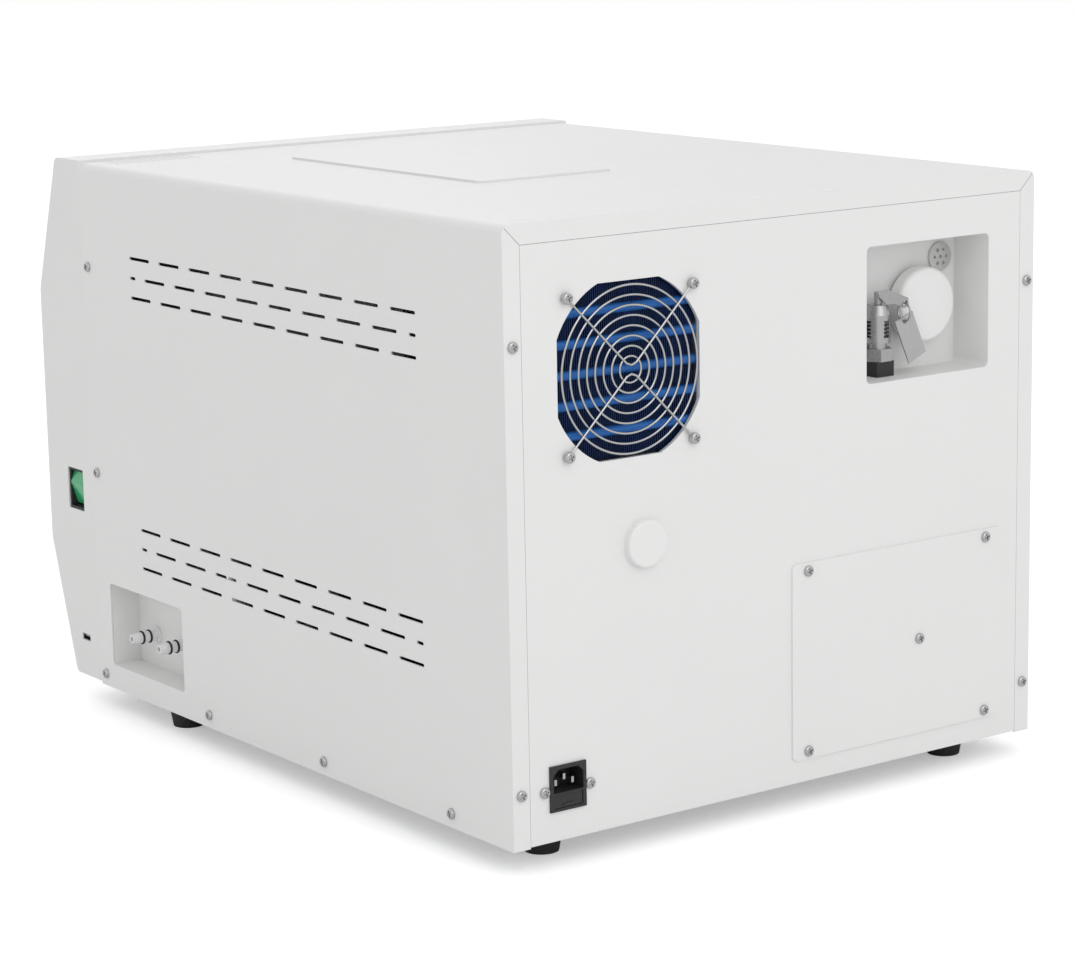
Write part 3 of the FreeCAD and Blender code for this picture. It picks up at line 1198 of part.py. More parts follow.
def control_panel():
    low, high = d.panel_up, d.panel_up + d.panel_tall
    plate = panel_block("panel_plate", d.panel_left, d.panel_right, low, high, 0.1, d.panel_thick)
    window = panel_block("panel_window", d.panel_left + 10, d.panel_right - 76, low + 10, high - 10, 2.0,
                         d.panel_thick + 2)
    wells = [panel_rod("button_well", d.button_radius + d.button_gap, x, up, 0.3, d.panel_thick * 2)
             for x, up in button_places().values()]
    lens = panel_block("lens_plate", d.panel_left + 10.2, d.panel_right - 76.2, low + 10.2, high - 10.2, 2.0,
                       d.panel_thick - 0.6)
    return cut("control_panel_moulding", plate, window, *wells), lens


def water_tank():
    """One moulding with two tanks: the near one opens under the lid, the far one is closed."""
    wall = d.tank_wall
    low, high = d.shelf_z + 1.5, top - d.wall - 3
    left, right = -d.lid_left + 2, d.tank_right
    solid = block("tank_solid", (left, -d.tank_front, low), (right, -d.tank_rear, high))
    clean = block("tank_clean", (left + wall, -d.tank_front + wall, low + wall),
                  (d.tank_split, -d.tank_rear - wall, high + 1))
    waste = block("tank_waste", (d.tank_split + wall, -d.tank_front + wall, low + wall),
                  (right - wall, -d.tank_rear - wall, high - wall))
    drain = rod("tank_drain", "z", 5, (right - 20, -d.tank_rear - 20, high - wall * 2), wall * 4)
    return cut("water_tank_moulding", solid, clean, waste, drain)


def tank_shelf():
    """A shelf over the vessel on four legs that stand on the base."""
    wide = inner_side - 8
    shelf = block("shelf_sheet", (-wide, -d.tank_front - 4, d.shelf_z), (wide, -d.tank_rear + 4, d.shelf_z + 1.5))
    legs = []
    for hand in (-1, 1):
        x = wide * hand
        near, far = (x - 3, x) if hand > 0 else (x, x + 3)
        for y in (-d.tank_front + 62, -d.tank_rear - 40):
            legs.append(block("shelf_leg", (near, y, d.base_sheet), (far, y + 24, d.shelf_z)))
    return joined("tank_shelf_sheet", shelf, *legs)


def inner_units():
    """The bought-in units that stand on the base, each reduced to its housing and main features."""
    floor = d.base_sheet
    pump = joined("vacuum_pump_unit", block("pump_foot", (110, -320, floor), (190, -130, floor + 6)),
                  rod("pump_motor", "y", 38, (150, -250, floor + 44), 110),
                  block("pump_head", (112, -322, floor + 6), (188, -250, floor + 96)))
    boiler = joined("steam_generator_unit", rod("boiler_shell", "x", 32, (-190, -60, floor + 56), 160),
                    block("boiler_foot", (-170, -80, floor), (-158, -40, floor + 40)),
                    block("boiler_foot", (-62, -80, floor), (-50, -40, floor + 40)),
                    rod("boiler_stub", "z", 6, (-110, -60, floor + 80), 30))
    feed = joined("water_pump_unit", block("feed_foot", (112, -372, floor), (150, -336, floor + 4)),
                  rod("feed_body", "z", 17, (131, -354, floor + 4), 52))
    valves = []
    for i in range(3):
        x = 26 + 24 * i
        valves.append(joined("solenoid_valve_unit", block("valve_brass", (x - 9, -96, floor), (x + 9, -66, floor + 18)),
                             rod("valve_coil", "z", 9, (x, -81, floor + 18), 30)))
    board = joined("control_board_unit", block("board_sheet", (96, -540, floor + 9), (200, -400, floor + 10.6)),
                   block("board_transformer", (104, -470, floor + 10.6), (144, -430, floor + 44)),
                   block("board_relays", (160, -530, floor + 10.6), (176, -440, floor + 27)),
                   *[rod("board_post", "z", 3, (x, y, floor), 9) for x in (102, 194) for y in (-534, -406)])
    return {"vacuum_pump": pump, "steam_generator": boiler, "water_pump": feed,
            "solenoid_valves": together("solenoid_valve_set", *valves), "control_board": board}


for name, maker in (("pressure_chamber", chamber), ("chamber_insulation", insulation),
                    ("chamber_saddles", saddles), ("tray_rack", tray_rack), ("instrument_trays", trays),
                    ("door_cover", door_cover), ("door_plate", door_plate), ("door_gasket", door_gasket),
                    ("door_arm", door_arm), ("hinge_bracket", hinge_bracket), ("hinge_pin", hinge_pin),
                    ("door_handle", door_handle), ("lock_slide", lock_slide), ("lock_strike", lock_strike),
                    ("twin_water_tank", water_tank), ("tank_shelf", tank_shelf)):
    keep(name, maker())
for name, thing in zip(("control_panel", "display_lens"), control_panel()):
    keep(name, thing)
for name, (x, up) in button_places().items():
    keep(name, panel_rod(name + "_cap", d.button_radius, x, up, d.button_lift, d.button_thick))
for name, unit in inner_units().items():
    keep(name, unit)

doc.recompute()
for thing in doc.Objects:
    if "Invalid" in thing.State or "Error" in thing.State:
        raise RuntimeError("%s failed: %s" % (thing.Name, thing.State))
for piece in pieces:
    if piece.Shape.isNull() or not piece.Shape.isValid():
        raise RuntimeError("%s has no sound shape" % piece.Label)
os.makedirs("parts", exist_ok=True)
for piece in pieces:
    piece.Shape.exportStep(os.path.join("parts", piece.Label + ".step"))
print("%d pieces written" % len(pieces))
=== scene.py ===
import json
import math

import bmesh
import bpy
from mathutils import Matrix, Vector


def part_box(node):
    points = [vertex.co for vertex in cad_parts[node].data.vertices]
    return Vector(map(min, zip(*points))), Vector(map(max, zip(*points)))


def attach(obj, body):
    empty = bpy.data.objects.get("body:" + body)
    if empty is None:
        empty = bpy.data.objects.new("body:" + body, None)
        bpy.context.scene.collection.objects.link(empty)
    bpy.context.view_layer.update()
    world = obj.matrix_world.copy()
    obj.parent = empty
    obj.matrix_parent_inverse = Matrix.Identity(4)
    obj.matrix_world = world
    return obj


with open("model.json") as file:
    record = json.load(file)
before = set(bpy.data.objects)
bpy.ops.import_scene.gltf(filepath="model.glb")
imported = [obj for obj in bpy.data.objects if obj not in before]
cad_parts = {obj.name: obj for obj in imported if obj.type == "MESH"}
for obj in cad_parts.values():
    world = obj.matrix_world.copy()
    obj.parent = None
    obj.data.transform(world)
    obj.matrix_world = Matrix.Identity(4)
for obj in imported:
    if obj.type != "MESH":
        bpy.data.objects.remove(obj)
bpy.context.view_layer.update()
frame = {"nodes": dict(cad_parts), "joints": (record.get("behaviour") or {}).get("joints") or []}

bl_info = {
    "name": "Benchtop Autoclave Finish",
    "version": (1, 0, 0),
    "blender": (4, 5, 0),
    "location": "View3D > Sidebar > Autoclave",
    "description": "Finishes the pieces of a benchtop autoclave and sets a plain studio round it",
    "category": "Object",
}

MM = 0.001


# ---------------------------------------------------------------- shader maths

class Term:
    """A shader socket that Python's operators extend with Math nodes."""

    def __init__(self, tree, socket):
        self.tree = tree
        self.socket = socket

    def node(self, kind, settings=None, output=0, **inputs):
        """Adds any node: its settings first, then a value or a link for each named socket."""
        made = self.tree.nodes.new(kind)
        for name, value in (settings or {}).items():
            setattr(made, name, value)
        for name, value in inputs.items():
            key = int(name[1:]) if name[0] == "i" and name[1:].isdigit() else name.replace("_", " ")
            if isinstance(value, Term):
                self.tree.links.new(value.socket, made.inputs[key])
            else:
                made.inputs[key].default_value = value
        return Term(self.tree, made.outputs[output])

    def maths(self, operation, first, second):
        return self.node("ShaderNodeMath", {"operation": operation}, i0=first, i1=second)

    def __add__(self, other):
        return self.maths("ADD", self, other)

    __radd__ = __add__

    def __mul__(self, other):
        return self.maths("MULTIPLY", self, other)

    def noise(self, scale, detail=2.0):
        return self.node("ShaderNodeTexNoise", None, "Fac", Vector=self, Scale=scale, Detail=detail)

    def scaled(self, factors):
        return self.node("ShaderNodeVectorMath", {"operation": "MULTIPLY"}, i0=self, i1=factors)

    def blend(self, low, high):
        """A colour between two colours, by this term."""
        return self.node("ShaderNodeMix", {"data_type": "RGBA"}, 2, i0=self, i6=rgba(low), i7=rgba(high))

    def bump(self, strength, distance):
        return self.node("ShaderNodeBump", None, "Normal", Height=self, Strength=strength,
                         Distance=distance)


def rgba(colour):
    return tuple(colour)[:3] + (1.0,)


def shade(colour, factor):
    return tuple(min(1.0, part * factor) for part in tuple(colour)[:3]) + (1.0,)


def finish(name, **constants):
    """A new material: its place on the piece as a Term, and the shader to set."""
    material = bpy.data.materials.new(name)
    material.use_nodes = True
    tree = material.node_tree
    shader = tree.nodes["Principled BSDF"]
    for key, value in constants.items():
        shader.inputs[key.replace("_", " ")].default_value = value
    spot = Term(tree, tree.nodes.new("ShaderNodeTexCoord").outputs["Object"])
    return material, spot, shader


def feed(shader, spot, **links):
    for key, term in links.items():
        spot.tree.links.new(term.socket, shader.inputs[key.replace("_", " ")])


# ---------------------------------------------------------------- finishes

def powder_coat(name, colour):
    """Baked powder coat: fine orange peel, a hint of cloudiness and slightly uneven gloss."""
    material, spot, shader = finish(name, Specular_IOR_Level=0.4)
    peel = spot.noise(1400.0, 2.0)
    cloud = spot.noise(9.0, 3.0)
    feed(shader, spot, Base_Color=cloud.blend(shade(colour, 0.985), shade(colour, 1.012)),
         Roughness=0.36 + spot.noise(60.0) * 0.14, Normal=peel.bump(0.16, 0.00025))
    return material


def moulded(name, colour, rough=0.42, grain=0.2, scale=2600.0, **constants):
    """Moulded plastic with a fine spark-eroded grain."""
    material, spot, shader = finish(name, Specular_IOR_Level=0.4, **constants)
    feed(shader, spot, Base_Color=spot.noise(14.0, 3.0).blend(shade(colour, 0.97), shade(colour, 1.02)),
         Roughness=rough - 0.05 + spot.noise(90.0) * 0.1, Normal=spot.noise(scale).bump(grain, 0.0002))
    return material


def brushed(name, colour, stretch, rough=0.3):
    """Brushed sheet: long scratches across the stretched axes and a few darker streaks."""
    material, spot, shader = finish(name, Metallic=1.0)
    grain = spot.scaled(stretch).noise(1.0, 4.0)
    feed(shader, spot, Base_Color=grain.blend(shade(colour, 0.86), shade(colour, 1.05)),
         Roughness=rough + grain * 0.22, Normal=grain.bump(0.12, 0.0001))
    return material


def plated(name, colour, rough=0.16):
    """Bright plating with a faint haze of handling."""
    material, spot, shader = finish(name, Metallic=1.0)
    haze = spot.noise(220.0, 4.0)
    feed(shader, spot, Base_Color=haze.blend(shade(colour, 0.9), colour), Roughness=rough + haze * 0.12)
    return material


def rubber(name, colour):
    material, spot, shader = finish(name, Specular_IOR_Level=0.3)
    bloom = spot.noise(160.0, 4.0)
    feed(shader, spot, Base_Color=bloom.blend(shade(colour, 0.8), shade(colour, 1.5)),
         Roughness=0.6 + bloom * 0.2, Normal=spot.noise(3000.0).bump(0.25, 0.0002))
    return material


def fin_stock(name, colour, tint):
    """Coated fins with random patches of a second tint."""
    material, spot, shader = finish(name, Metallic=0.35)
    patch = spot.noise(70.0, 3.0)
    feed(shader, spot, Base_Color=patch.blend(colour, tint), Roughness=0.3 + patch * 0.2,
         Normal=spot.noise(900.0).bump(0.1, 0.0002))
    return material


def lit_rocker(name, colour):
    """Translucent green moulding with the lamp's faint glow behind it."""
    material, spot, shader = finish(name, Transmission_Weight=0.25, Coat_Weight=0.4, IOR=1.49,
                                    Emission_Strength=0.12)
    core = spot.noise(120.0, 2.0)
    feed(shader, spot, Base_Color=core.blend(shade(colour, 0.8), shade(colour, 1.15)),
         Roughness=0.16 + core * 0.1, Emission_Color=core.blend(shade(colour, 0.5), colour))
    return material


def quilted(name, colour):
    """Glass-fibre blanket: a soft tangle of fibres."""
    material, spot, shader = finish(name, Roughness=0.95)
    tangle = spot.scaled((900.0, 120.0, 900.0)).noise(1.0, 5.0)
    feed(shader, spot, Base_Color=tangle.blend(shade(colour, 0.7), shade(colour, 1.1)),
         Normal=tangle.bump(0.7, 0.001))
    return material


def circuit(name, colour):
    material, spot, shader = finish(name, Coat_Weight=0.3)
    tracks = spot.node("ShaderNodeTexBrick", None, "Fac", Vector=spot, Scale=90.0)
    feed(shader, spot, Base_Color=tracks.blend(colour, shade(colour, 1.8)), Roughness=0.3 + tracks * 0.2)
    return material


def dark_window(name, colour):
    material, spot, shader = finish(name, Coat_Weight=0.8, IOR=1.52)
    smear = spot.noise(30.0, 3.0)
    feed(shader, spot, Base_Color=smear.blend(colour, shade(colour, 1.3)), Roughness=0.07 + smear * 0.06)
    return material


# ---------------------------------------------------------------- what a user can change

def colour_setting(name, text, default):
    return bpy.props.FloatVectorProperty(name=name, description=text, default=default, size=3,
                                         subtype="COLOR", min=0.0, max=1.0)


def length_setting(name, text, default):
    return bpy.props.FloatProperty(name=name, description=text, default=default, unit="LENGTH",
                                   min=0.0, precision=5)


class AutoclaveColours(bpy.types.PropertyGroup):
    """Colours of the finishes."""
    coat: colour_setting("Powder coat", "Painted casing", (0.80, 0.80, 0.795))
    plastic: colour_setting("White plastic", "Bezel, door and lid mouldings", (0.79, 0.79, 0.785))
    steel: colour_setting("Stainless", "Chamber, trays and door plate", (0.66, 0.66, 0.65))
    zinc: colour_setting("Zinc", "Plated inner sheet metal", (0.55, 0.56, 0.57))
    bright: colour_setting("Bright plating", "Guard, screws and valve", (0.50, 0.50, 0.50))
    black: colour_setting("Black plastic", "Fan, inlet and switch mouldings", (0.022, 0.022, 0.024))
    fins: colour_setting("Fins", "Condenser fins", (0.012, 0.025, 0.09))
    fin_tint: colour_setting("Fin tint", "Condenser fins near the tubes", (0.02, 0.06, 0.2))
    tubes: colour_setting("Tubes", "Condenser tubes", (0.015, 0.11, 0.36))
    rocker: colour_setting("Rocker", "Power switch", (0.03, 0.42, 0.16))


class AutoclaveDetails(bpy.types.PropertyGroup):
    """Sizes of the pieces that are modelled here."""
    line_wide: length_setting("Mitre line", "Width of the mitre line in the rear flange", 0.0007)
    flange_lap: length_setting("Flange lap", "How far the flange reaches in over the rear panel", 0.009)
    mitre_inset: length_setting("Mitre inset", "From the casing's corner to the mitre's end", 0.002)
    spring_wire: length_setting("Spring wire", "Wire radius of the valve's spring", 0.0008)
    spring_turns: bpy.props.IntProperty(name="Spring turns", description="Turns of the valve's spring",
                                        default=7, min=2)
    spring_drop: length_setting("Spring drop", "From the valve's top to the spring's foot", 0.036)
    spring_tall: length_setting("Spring height", "Height of the valve's spring", 0.019)
    spring_reach: length_setting("Spring reach", "Radius of the valve's spring", 0.0066)
    digit_high: length_setting("Digit height", "Height of the digits on the display", 0.022)


class AutoclaveStudio(bpy.types.PropertyGroup):
    """Camera, light and floor."""
    lens: bpy.props.FloatProperty(name="Lens", description="Focal length in millimetres",
                                  default=107.76, min=1.0)
    camera_place: bpy.props.FloatVectorProperty(name="Camera", description="Where the camera stands",
                                                default=(1.4124, 1.99815, 0.6776), size=3,
                                                subtype="TRANSLATION", unit="LENGTH")
    camera_turn: bpy.props.FloatVectorProperty(
        name="Camera turn", description="How the camera is turned", size=3, subtype="EULER",
        default=(math.radians(78.525), math.radians(1.062), math.radians(143.975)))
    sky: bpy.props.FloatProperty(name="Sky", description="Strength of the even light", default=0.79,
                                 min=0.0)
    floor_wide: length_setting("Floor", "Width of the floor", 14.0)
    floor_lift: bpy.props.FloatProperty(name="Floor lift", default=0.34, min=0.0,
                                        description="Light the floor adds for the camera alone")
    lamp_wide: length_setting("Lamps", "Width of the two soft lamps", 2.2)
    rear_power: bpy.props.FloatProperty(name="Rear lamp", description="Power in watts", default=17.0)
    front_power: bpy.props.FloatProperty(name="Front lamp", description="Power in watts", default=7.0)


# ---------------------------------------------------------------- mesh helpers

def coat(material, *names):
    """Gives carried-over pieces their finish."""
    for name in names:
        for place in frame["nodes"][name].material_slots:
            place.material = material


def piece_from(name, build, material, rider):
    """A new mesh piece: build fills a bmesh, and the piece rides on a body."""
    mesh = bpy.data.meshes.new(name)
    shape = bmesh.new()
    build(shape)
    bmesh.ops.recalc_face_normals(shape, faces=shape.faces)
    shape.to_mesh(mesh)
    shape.free()
    mesh.materials.append(material)
    piece = bpy.data.objects.new(name, mesh)
    bpy.context.scene.collection.objects.link(piece)
    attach(piece, rider)
    return piece


def prism(shape, points, depth):
    """Pushes a flat outline along depth to a closed prism."""
    near = [shape.verts.new(point) for point in points]
    far = [shape.verts.new(Vector(point) + Vector(depth)) for point in points]
    shape.faces.new(near)
    shape.faces.new(far[::-1])
    count = len(points)
    for i in range(count):
        following = (i + 1) % count
        shape.faces.new((near[following], near[i], far[i], far[following]))


def sweep_round(shape, path, radius, sides=10):
    """A closed round tube along a list of points."""
    rings = []
    for i, point in enumerate(path):
        ahead = path[min(i + 1, len(path) - 1)] - path[max(i - 1, 0)]
        across = ahead.cross(Vector((0, 0, 1))).normalized()
        up = across.cross(ahead).normalized()
        turns = [2 * math.pi * k / sides for k in range(sides)]
        rings.append([shape.verts.new(point + (across * math.cos(a) + up * math.sin(a)) * radius)
                      for a in turns])
    for ring, following in zip(rings, rings[1:]):
        for k in range(sides):
            m = (k + 1) % sides
            shape.faces.new((ring[k], ring[m], following[m], following[k]))
    shape.faces.new(rings[0][::-1])
    shape.faces.new(rings[-1])


# ---------------------------------------------------------------- pieces

class PieceOperator(bpy.types.Operator):
    """Common base of the operators below"""
    bl_options = {"REGISTER"}

    def execute(self, context):
        scene = context.scene
        self.make(scene.autoclave_colours, scene.autoclave_details)
        return {"FINISHED"}


class AUTOCLAVE_OT_casing(PieceOperator):
    """Powder coats the casing and marks the mitred corners of its rear flange"""
    bl_idname = "autoclave.casing"
    bl_label = "Casing"

    def make(self, colours, details):
        white = powder_coat("powder_coat_white", colours.coat)
        coat(white, "outer_cover", "rear_panel", "rear_recess_box", "access_panel",
             "water_niche")
        coat(brushed("zinc_sheet", colours.zinc, (40.0, 900.0, 40.0), 0.34), "base_plate", "tank_shelf",
             "chamber_saddles", "condenser_frame", "hinge_bracket", "door_arm")
        coat(rubber("foot_rubber", colours.black), "rubber_foot_set", "connector_seals")
        low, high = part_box("outer_cover")
        panel_low, panel_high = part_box("rear_panel")
        shadow = moulded("mitre_shadow", shade(colours.coat, 0.6), 0.7)

        def mitres(shape):
            for hand in (-1, 1):
                inner = Vector((hand * (panel_high[0] - details.flange_lap), high[1],
                                panel_high[2] - details.flange_lap))
                outer = Vector((hand * (high[0] - details.mitre_inset), high[1],
                                high[2] - details.mitre_inset))
                across = Vector((0.7 * hand, 0, -0.7)) * details.line_wide / 2
                corners = (inner - across, outer - across, outer + across, inner + across)
                prism(shape, corners, (0, 0.04 * MM, 0))

        piece_from("flange_mitres", mitres, shadow, "case")


class AUTOCLAVE_OT_mouldings(PieceOperator):
    """Finishes the white mouldings: bezel, door cover, tank lid, cap, filter and connectors"""
    bl_idname = "autoclave.mouldings"
    bl_label = "White mouldings"

    def make(self, colours, details):
        coat(moulded("bezel_white", colours.plastic, 0.4), "front_bezel", "door_cover", "tank_lid")
        coat(moulded("fitting_white", shade(colours.plastic, 1.03), 0.34, 0.1), "port_cap", "air_filter",
             "water_connectors")
        coat(moulded("tank_white", shade(colours.plastic, 0.95), 0.35, 0.1), "twin_water_tank")


class AUTOCLAVE_OT_chamber(PieceOperator):
    """Finishes the vessel, its trays, its door and the lock"""
    bl_idname = "autoclave.chamber"
    bl_label = "Chamber"

    def make(self, colours, details):
        along = (60.0, 1400.0, 60.0)
        coat(brushed("stainless_turned", colours.steel, along), "pressure_chamber", "door_plate",
             "steam_generator", "vent_disc")
        coat(brushed("stainless_sheet", colours.steel, (1400.0, 30.0, 1400.0), 0.26), "tray_rack",
             "instrument_trays", "lock_slide", "lock_strike", "hinge_pin")
        coat(moulded("silicone_seal", (0.62, 0.6, 0.55), 0.55, 0.1), "door_gasket")
        coat(quilted("glass_blanket", (0.6, 0.58, 0.52)), "chamber_insulation")


class AUTOCLAVE_OT_rear(PieceOperator):
    """Finishes the condenser, fan, guard, screws, mains inlet and safety valve"""
    bl_idname = "autoclave.rear"
    bl_label = "Rear fittings"

    def make(self, colours, details):
        coat(plated("bright_wire", colours.bright, 0.14), "fan_guard", "cover_screws", "rear_screws",
             "inlet_pins")
        coat(plated("valve_nickel", shade(colours.bright, 0.9), 0.22), "safety_valve",
             "valve_test_lever", "tag_ring", "usb_port")
        coat(brushed("tag_aluminium", colours.bright, (300.0, 60.0, 900.0), 0.36), "valve_tag")
        black = moulded("moulded_black", colours.black, 0.42, 0.25)
        coat(black, "fan_frame", "fan_rotor", "inlet_body", "fuse_drawer", "valve_base",
             "power_switch_frame")
        coat(fin_stock("fin_blue", colours.fins, colours.fin_tint), "condenser_fins")
        coat(fin_stock("tube_blue", colours.tubes, shade(colours.tubes, 1.5)), "condenser_tubes")
        seat_low, seat_high = (Vector(corner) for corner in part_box("valve_base"))
        middle = (seat_low + seat_high) / 2
        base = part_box("safety_valve")[1][2] - details.spring_drop
        reach, tall = details.spring_reach, details.spring_tall
        steps = 20 * details.spring_turns

        def spring(shape):
            path = []
            for i in range(steps + 1):
                angle = 2 * math.pi * details.spring_turns * i / steps
                path.append(Vector((middle[0] + reach * math.cos(angle), middle[1]
                                    + reach * math.sin(angle), base + tall * i / steps)))
            sweep_round(shape, path, details.spring_wire, 8)

        coil = plated("spring_steel", shade(colours.bright, 0.8), 0.2)
        piece_from("valve_spring", spring, coil, "case")


class AUTOCLAVE_OT_controls(PieceOperator):
    """Finishes the switch, panel, display and buttons, and draws plain digits and key marks"""
    bl_idname = "autoclave.controls"
    bl_label = "Controls"

    def make(self, colours, details):
        coat(lit_rocker("rocker_green", colours.rocker), "power_rocker")
        coat(moulded("panel_grey", (0.09, 0.10, 0.12), 0.3, 0.1), "control_panel")
        coat(dark_window("display_window", (0.01, 0.02, 0.03)), "display_lens")
        coat(moulded("button_grey", (0.55, 0.57, 0.6), 0.5, 0.15), "start_button", "stop_button",
             "up_button", "down_button")
        coat(moulded("grip_grey", (0.2, 0.22, 0.25), 0.36, 0.15), "door_handle")
        self.key_marks()
        self.digits(details)

    def key_marks(self):
        """A raised triangle, square or chevron on each button's face."""
        ink = moulded("key_ink", (0.05, 0.06, 0.08), 0.5)
        marks = {"start": [(-2.2, -2.6), (2.8, 0), (-2.2, 2.6)],
                 "stop": [(-2.1, -2.1), (2.1, -2.1), (2.1, 2.1), (-2.1, 2.1)],
                 "up": [(-2.6, -1.8), (2.6, -1.8), (0, 2.4)],
                 "down": [(-2.6, 1.8), (0, -2.4), (2.6, 1.8)]}
        for body, outline in marks.items():
            out, up, face = button_face(body + "_button")

            def mark(shape):
                points = [face + Vector((x, 0, 0)) * MM + up * (y * MM) for x, y in outline]
                prism(shape, points, out * 0.15 * MM)

            piece_from(body + "_mark", mark, ink, body)

    def digits(self, details):
        """Three plain seven-bar digits behind the window, as a temperature."""
        material, spot, shader = finish("display_glow", Roughness=0.5, Emission_Strength=0.9)
        glow = spot.noise(400.0).blend((0.05, 0.5, 0.75, 1.0), (0.1, 0.65, 0.9, 1.0))
        feed(shader, spot, Base_Color=glow, Emission_Color=glow)
        low, high = (Vector(corner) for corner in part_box("display_lens"))
        out, up = panel_directions()
        tall = details.digit_high
        wide, bar = tall * 0.5, tall * 0.09
        bars = {"top": (0, 1, 1), "mid": (0, 0, 1), "low": (0, -1, 1), "upper_left": (-1, 0.5, 0),
                "upper_right": (1, 0.5, 0), "lower_left": (-1, -0.5, 0), "lower_right": (1, -0.5, 0)}
        digits = [("upper_right", "lower_right"),
                  ("top", "mid", "low", "upper_right", "lower_right"),
                  ("mid", "upper_left", "upper_right", "lower_right")]
        front = (low + high) / 2 + out * 0.75 * MM

        def segments(shape):
            for place, lit in enumerate(digits):
                centre = front + Vector(((place - 1) * wide * 1.7, 0, 0))
                for name in lit:
                    x, y, flat = bars[name]
                    half = Vector((wide / 2 if flat else bar / 2, 0, 0))
                    rise_half = up * (bar / 2 if flat else tall / 4)
                    spot_at = centre + Vector((x * wide / 2, 0, 0)) + up * (y * tall / 2)
                    corners = (spot_at - half - rise_half, spot_at + half - rise_half,
                               spot_at + half + rise_half, spot_at - half + rise_half)
                    prism(shape, corners, out * 0.1 * MM)

        piece_from("display_digits", segments, material, "case")


class AUTOCLAVE_OT_inner_units(PieceOperator):
    """Finishes the pumps, valves and control board"""
    bl_idname = "autoclave.inner_units"
    bl_label = "Inner units"

    def make(self, colours, details):
        coat(powder_coat("unit_paint", (0.12, 0.14, 0.17)), "vacuum_pump", "water_pump")
        coat(brushed("valve_brass", (0.62, 0.45, 0.17), (500.0, 500.0, 80.0), 0.3), "solenoid_valves")
        coat(circuit("circuit_board", (0.01, 0.10, 0.04)), "control_board")


def panel_directions():
    """Outward and upslope directions of the slanted face, from the travel of its buttons."""
    travel = [joint["axis"] for joint in frame["joints"] if joint["name"] == "start_press"][0]
    out = -Vector(travel).normalized()
    return out, Vector((0, out.z, -out.y)).normalized()


def button_face(node):
    """The middle of a button's outer face."""
    low, high = (Vector(corner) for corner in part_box(node))
    out, up = panel_directions()
    middle = (low + high) / 2
    return out, up, middle + out * 1.9 * MM


# ---------------------------------------------------------------- studio

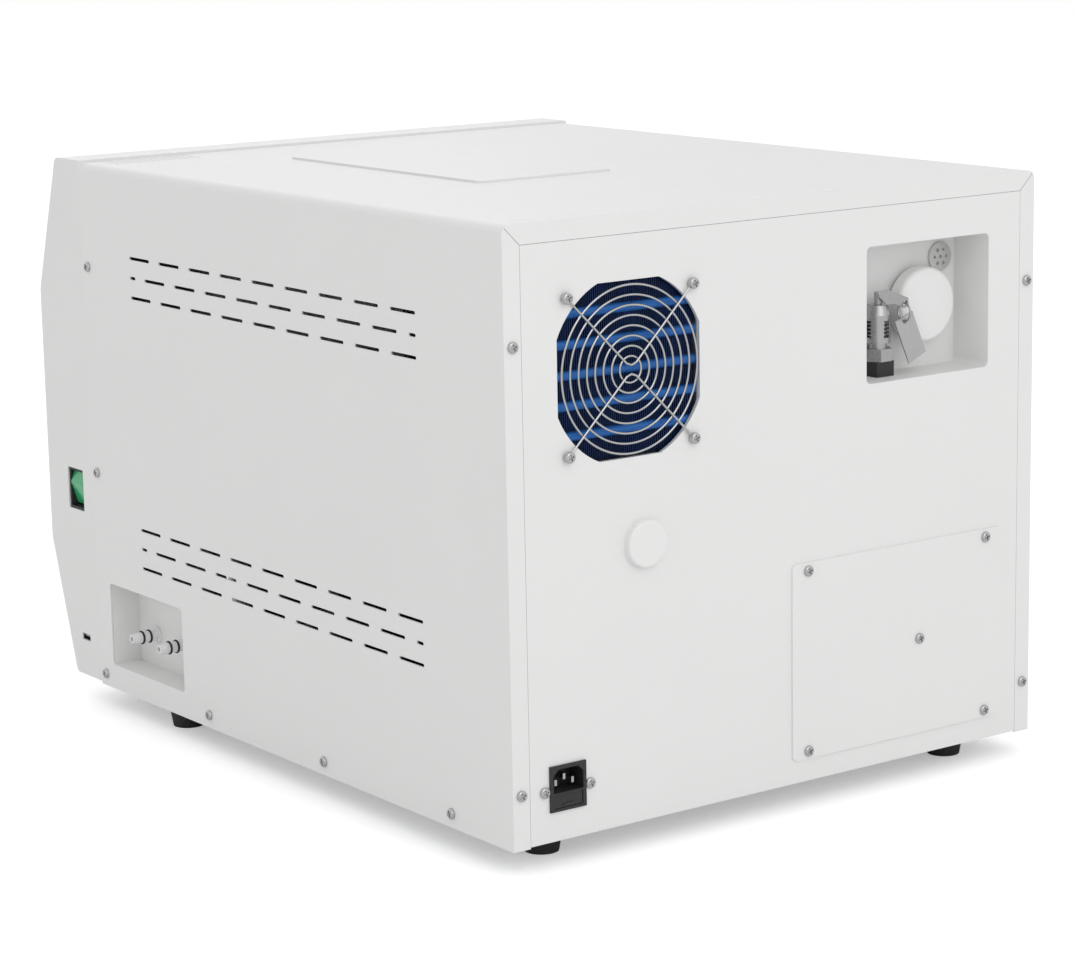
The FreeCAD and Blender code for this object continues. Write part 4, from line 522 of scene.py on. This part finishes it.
class AUTOCLAVE_OT_studio(bpy.types.Operator):
    """Sets the camera, the even light, two soft lamps and a pale floor"""
    bl_idname = "autoclave.studio"
    bl_label = "Studio"

    def execute(self, context):
        scene = context.scene
        studio = scene.autoclave_studio
        camera = bpy.data.objects.new("studio_camera", bpy.data.cameras.new("studio_camera"))
        scene.collection.objects.link(camera)
        camera.data.lens = studio.lens
        camera.data.sensor_width = 36.0
        camera.data.clip_end = 50.0
        camera.location = studio.camera_place
        camera.rotation_euler = studio.camera_turn
        scene.camera = camera
        self.world(scene, studio)
        self.lamp(scene, "rear_soft_lamp", (0.4, 2.6, 1.9), studio.lamp_wide, studio.rear_power)
        self.lamp(scene, "front_soft_lamp", (-0.8, -2.6, 1.9), studio.lamp_wide, studio.front_power)
        self.floor(studio)
        scene.view_settings.view_transform = "Standard"
        return {"FINISHED"}

    def world(self, scene, studio):
        world = bpy.data.worlds.new("studio_world")
        scene.world = world
        world.use_nodes = True
        tree = world.node_tree
        path = Term(tree, tree.nodes.new("ShaderNodeLightPath").outputs["Is Camera Ray"])
        gloss = Term(tree, path.socket.node.outputs["Is Glossy Ray"])
        through = Term(tree, path.socket.node.outputs["Is Transmission Ray"])
        seen = path.maths("MAXIMUM", path, gloss.maths("MAXIMUM", gloss, through))
        background = tree.nodes["Background"]
        background.inputs["Color"].default_value = (1, 1, 1, 1)
        strength = seen * (1.0 - studio.sky) + studio.sky
        tree.links.new(strength.socket, background.inputs["Strength"])

    def lamp(self, scene, name, place, wide, power):
        light = bpy.data.lights.new(name, "AREA")
        light.shape = "SQUARE"
        light.size = wide
        light.energy = power
        thing = bpy.data.objects.new(name, light)
        scene.collection.objects.link(thing)
        thing.location = place
        aim = Vector((0, 0, 0.2)) - Vector(place)
        thing.rotation_euler = aim.to_track_quat("-Z", "Y").to_euler()

    def floor(self, studio):
        mesh = bpy.data.meshes.new("studio_floor")
        shape = bmesh.new()
        bmesh.ops.create_grid(shape, x_segments=2, y_segments=2, size=studio.floor_wide / 2)
        shape.to_mesh(mesh)
        shape.free()
        floor = bpy.data.objects.new("studio_floor", mesh)
        bpy.context.scene.collection.objects.link(floor)
        material, spot, shader = finish("floor_white", Roughness=0.8, Emission_Strength=1.0)
        tree = spot.tree
        seen = Term(tree, tree.nodes.new("ShaderNodeLightPath").outputs["Is Camera Ray"])
        feed(shader, spot, Base_Color=spot.noise(3.0).blend((0.93,) * 3, (0.94,) * 3),
             Emission_Color=seen.blend((0,) * 3, (studio.floor_lift,) * 3))
        mesh.materials.append(material)


# ---------------------------------------------------------------- panel and registration

OPERATORS = (AUTOCLAVE_OT_casing, AUTOCLAVE_OT_mouldings, AUTOCLAVE_OT_chamber, AUTOCLAVE_OT_rear,
             AUTOCLAVE_OT_controls, AUTOCLAVE_OT_inner_units, AUTOCLAVE_OT_studio)
GROUPS = {"autoclave_colours": AutoclaveColours, "autoclave_details": AutoclaveDetails,
          "autoclave_studio": AutoclaveStudio}


class AUTOCLAVE_PT_panel(bpy.types.Panel):
    """Lists the settings and the steps"""
    bl_idname = "AUTOCLAVE_PT_panel"
    bl_label = "Benchtop Autoclave"
    bl_space_type = "VIEW_3D"
    bl_region_type = "UI"
    bl_category = "Autoclave"

    def draw(self, context):
        for group in GROUPS:
            box = self.layout.box()
            values = getattr(context.scene, group)
            for name in values.__annotations__:
                box.prop(values, name)
        for operator in OPERATORS:
            self.layout.operator(operator.bl_idname)


def register():
    for group in GROUPS.values():
        bpy.utils.register_class(group)
    for operator in OPERATORS:
        bpy.utils.register_class(operator)
    bpy.utils.register_class(AUTOCLAVE_PT_panel)
    for name, group in GROUPS.items():
        setattr(bpy.types.Scene, name, bpy.props.PointerProperty(type=group))


def unregister():
    for name in GROUPS:
        delattr(bpy.types.Scene, name)
    bpy.utils.unregister_class(AUTOCLAVE_PT_panel)
    for operator in reversed(OPERATORS):
        bpy.utils.unregister_class(operator)
    for group in GROUPS.values():
        bpy.utils.unregister_class(group)


def main():
    register()
    bpy.ops.autoclave.studio()
    bpy.ops.autoclave.casing()
    bpy.ops.autoclave.mouldings()
    bpy.ops.autoclave.chamber()
    bpy.ops.autoclave.rear()
    bpy.ops.autoclave.controls()
    bpy.ops.autoclave.inner_units()


if __name__ == "__main__":
    main()
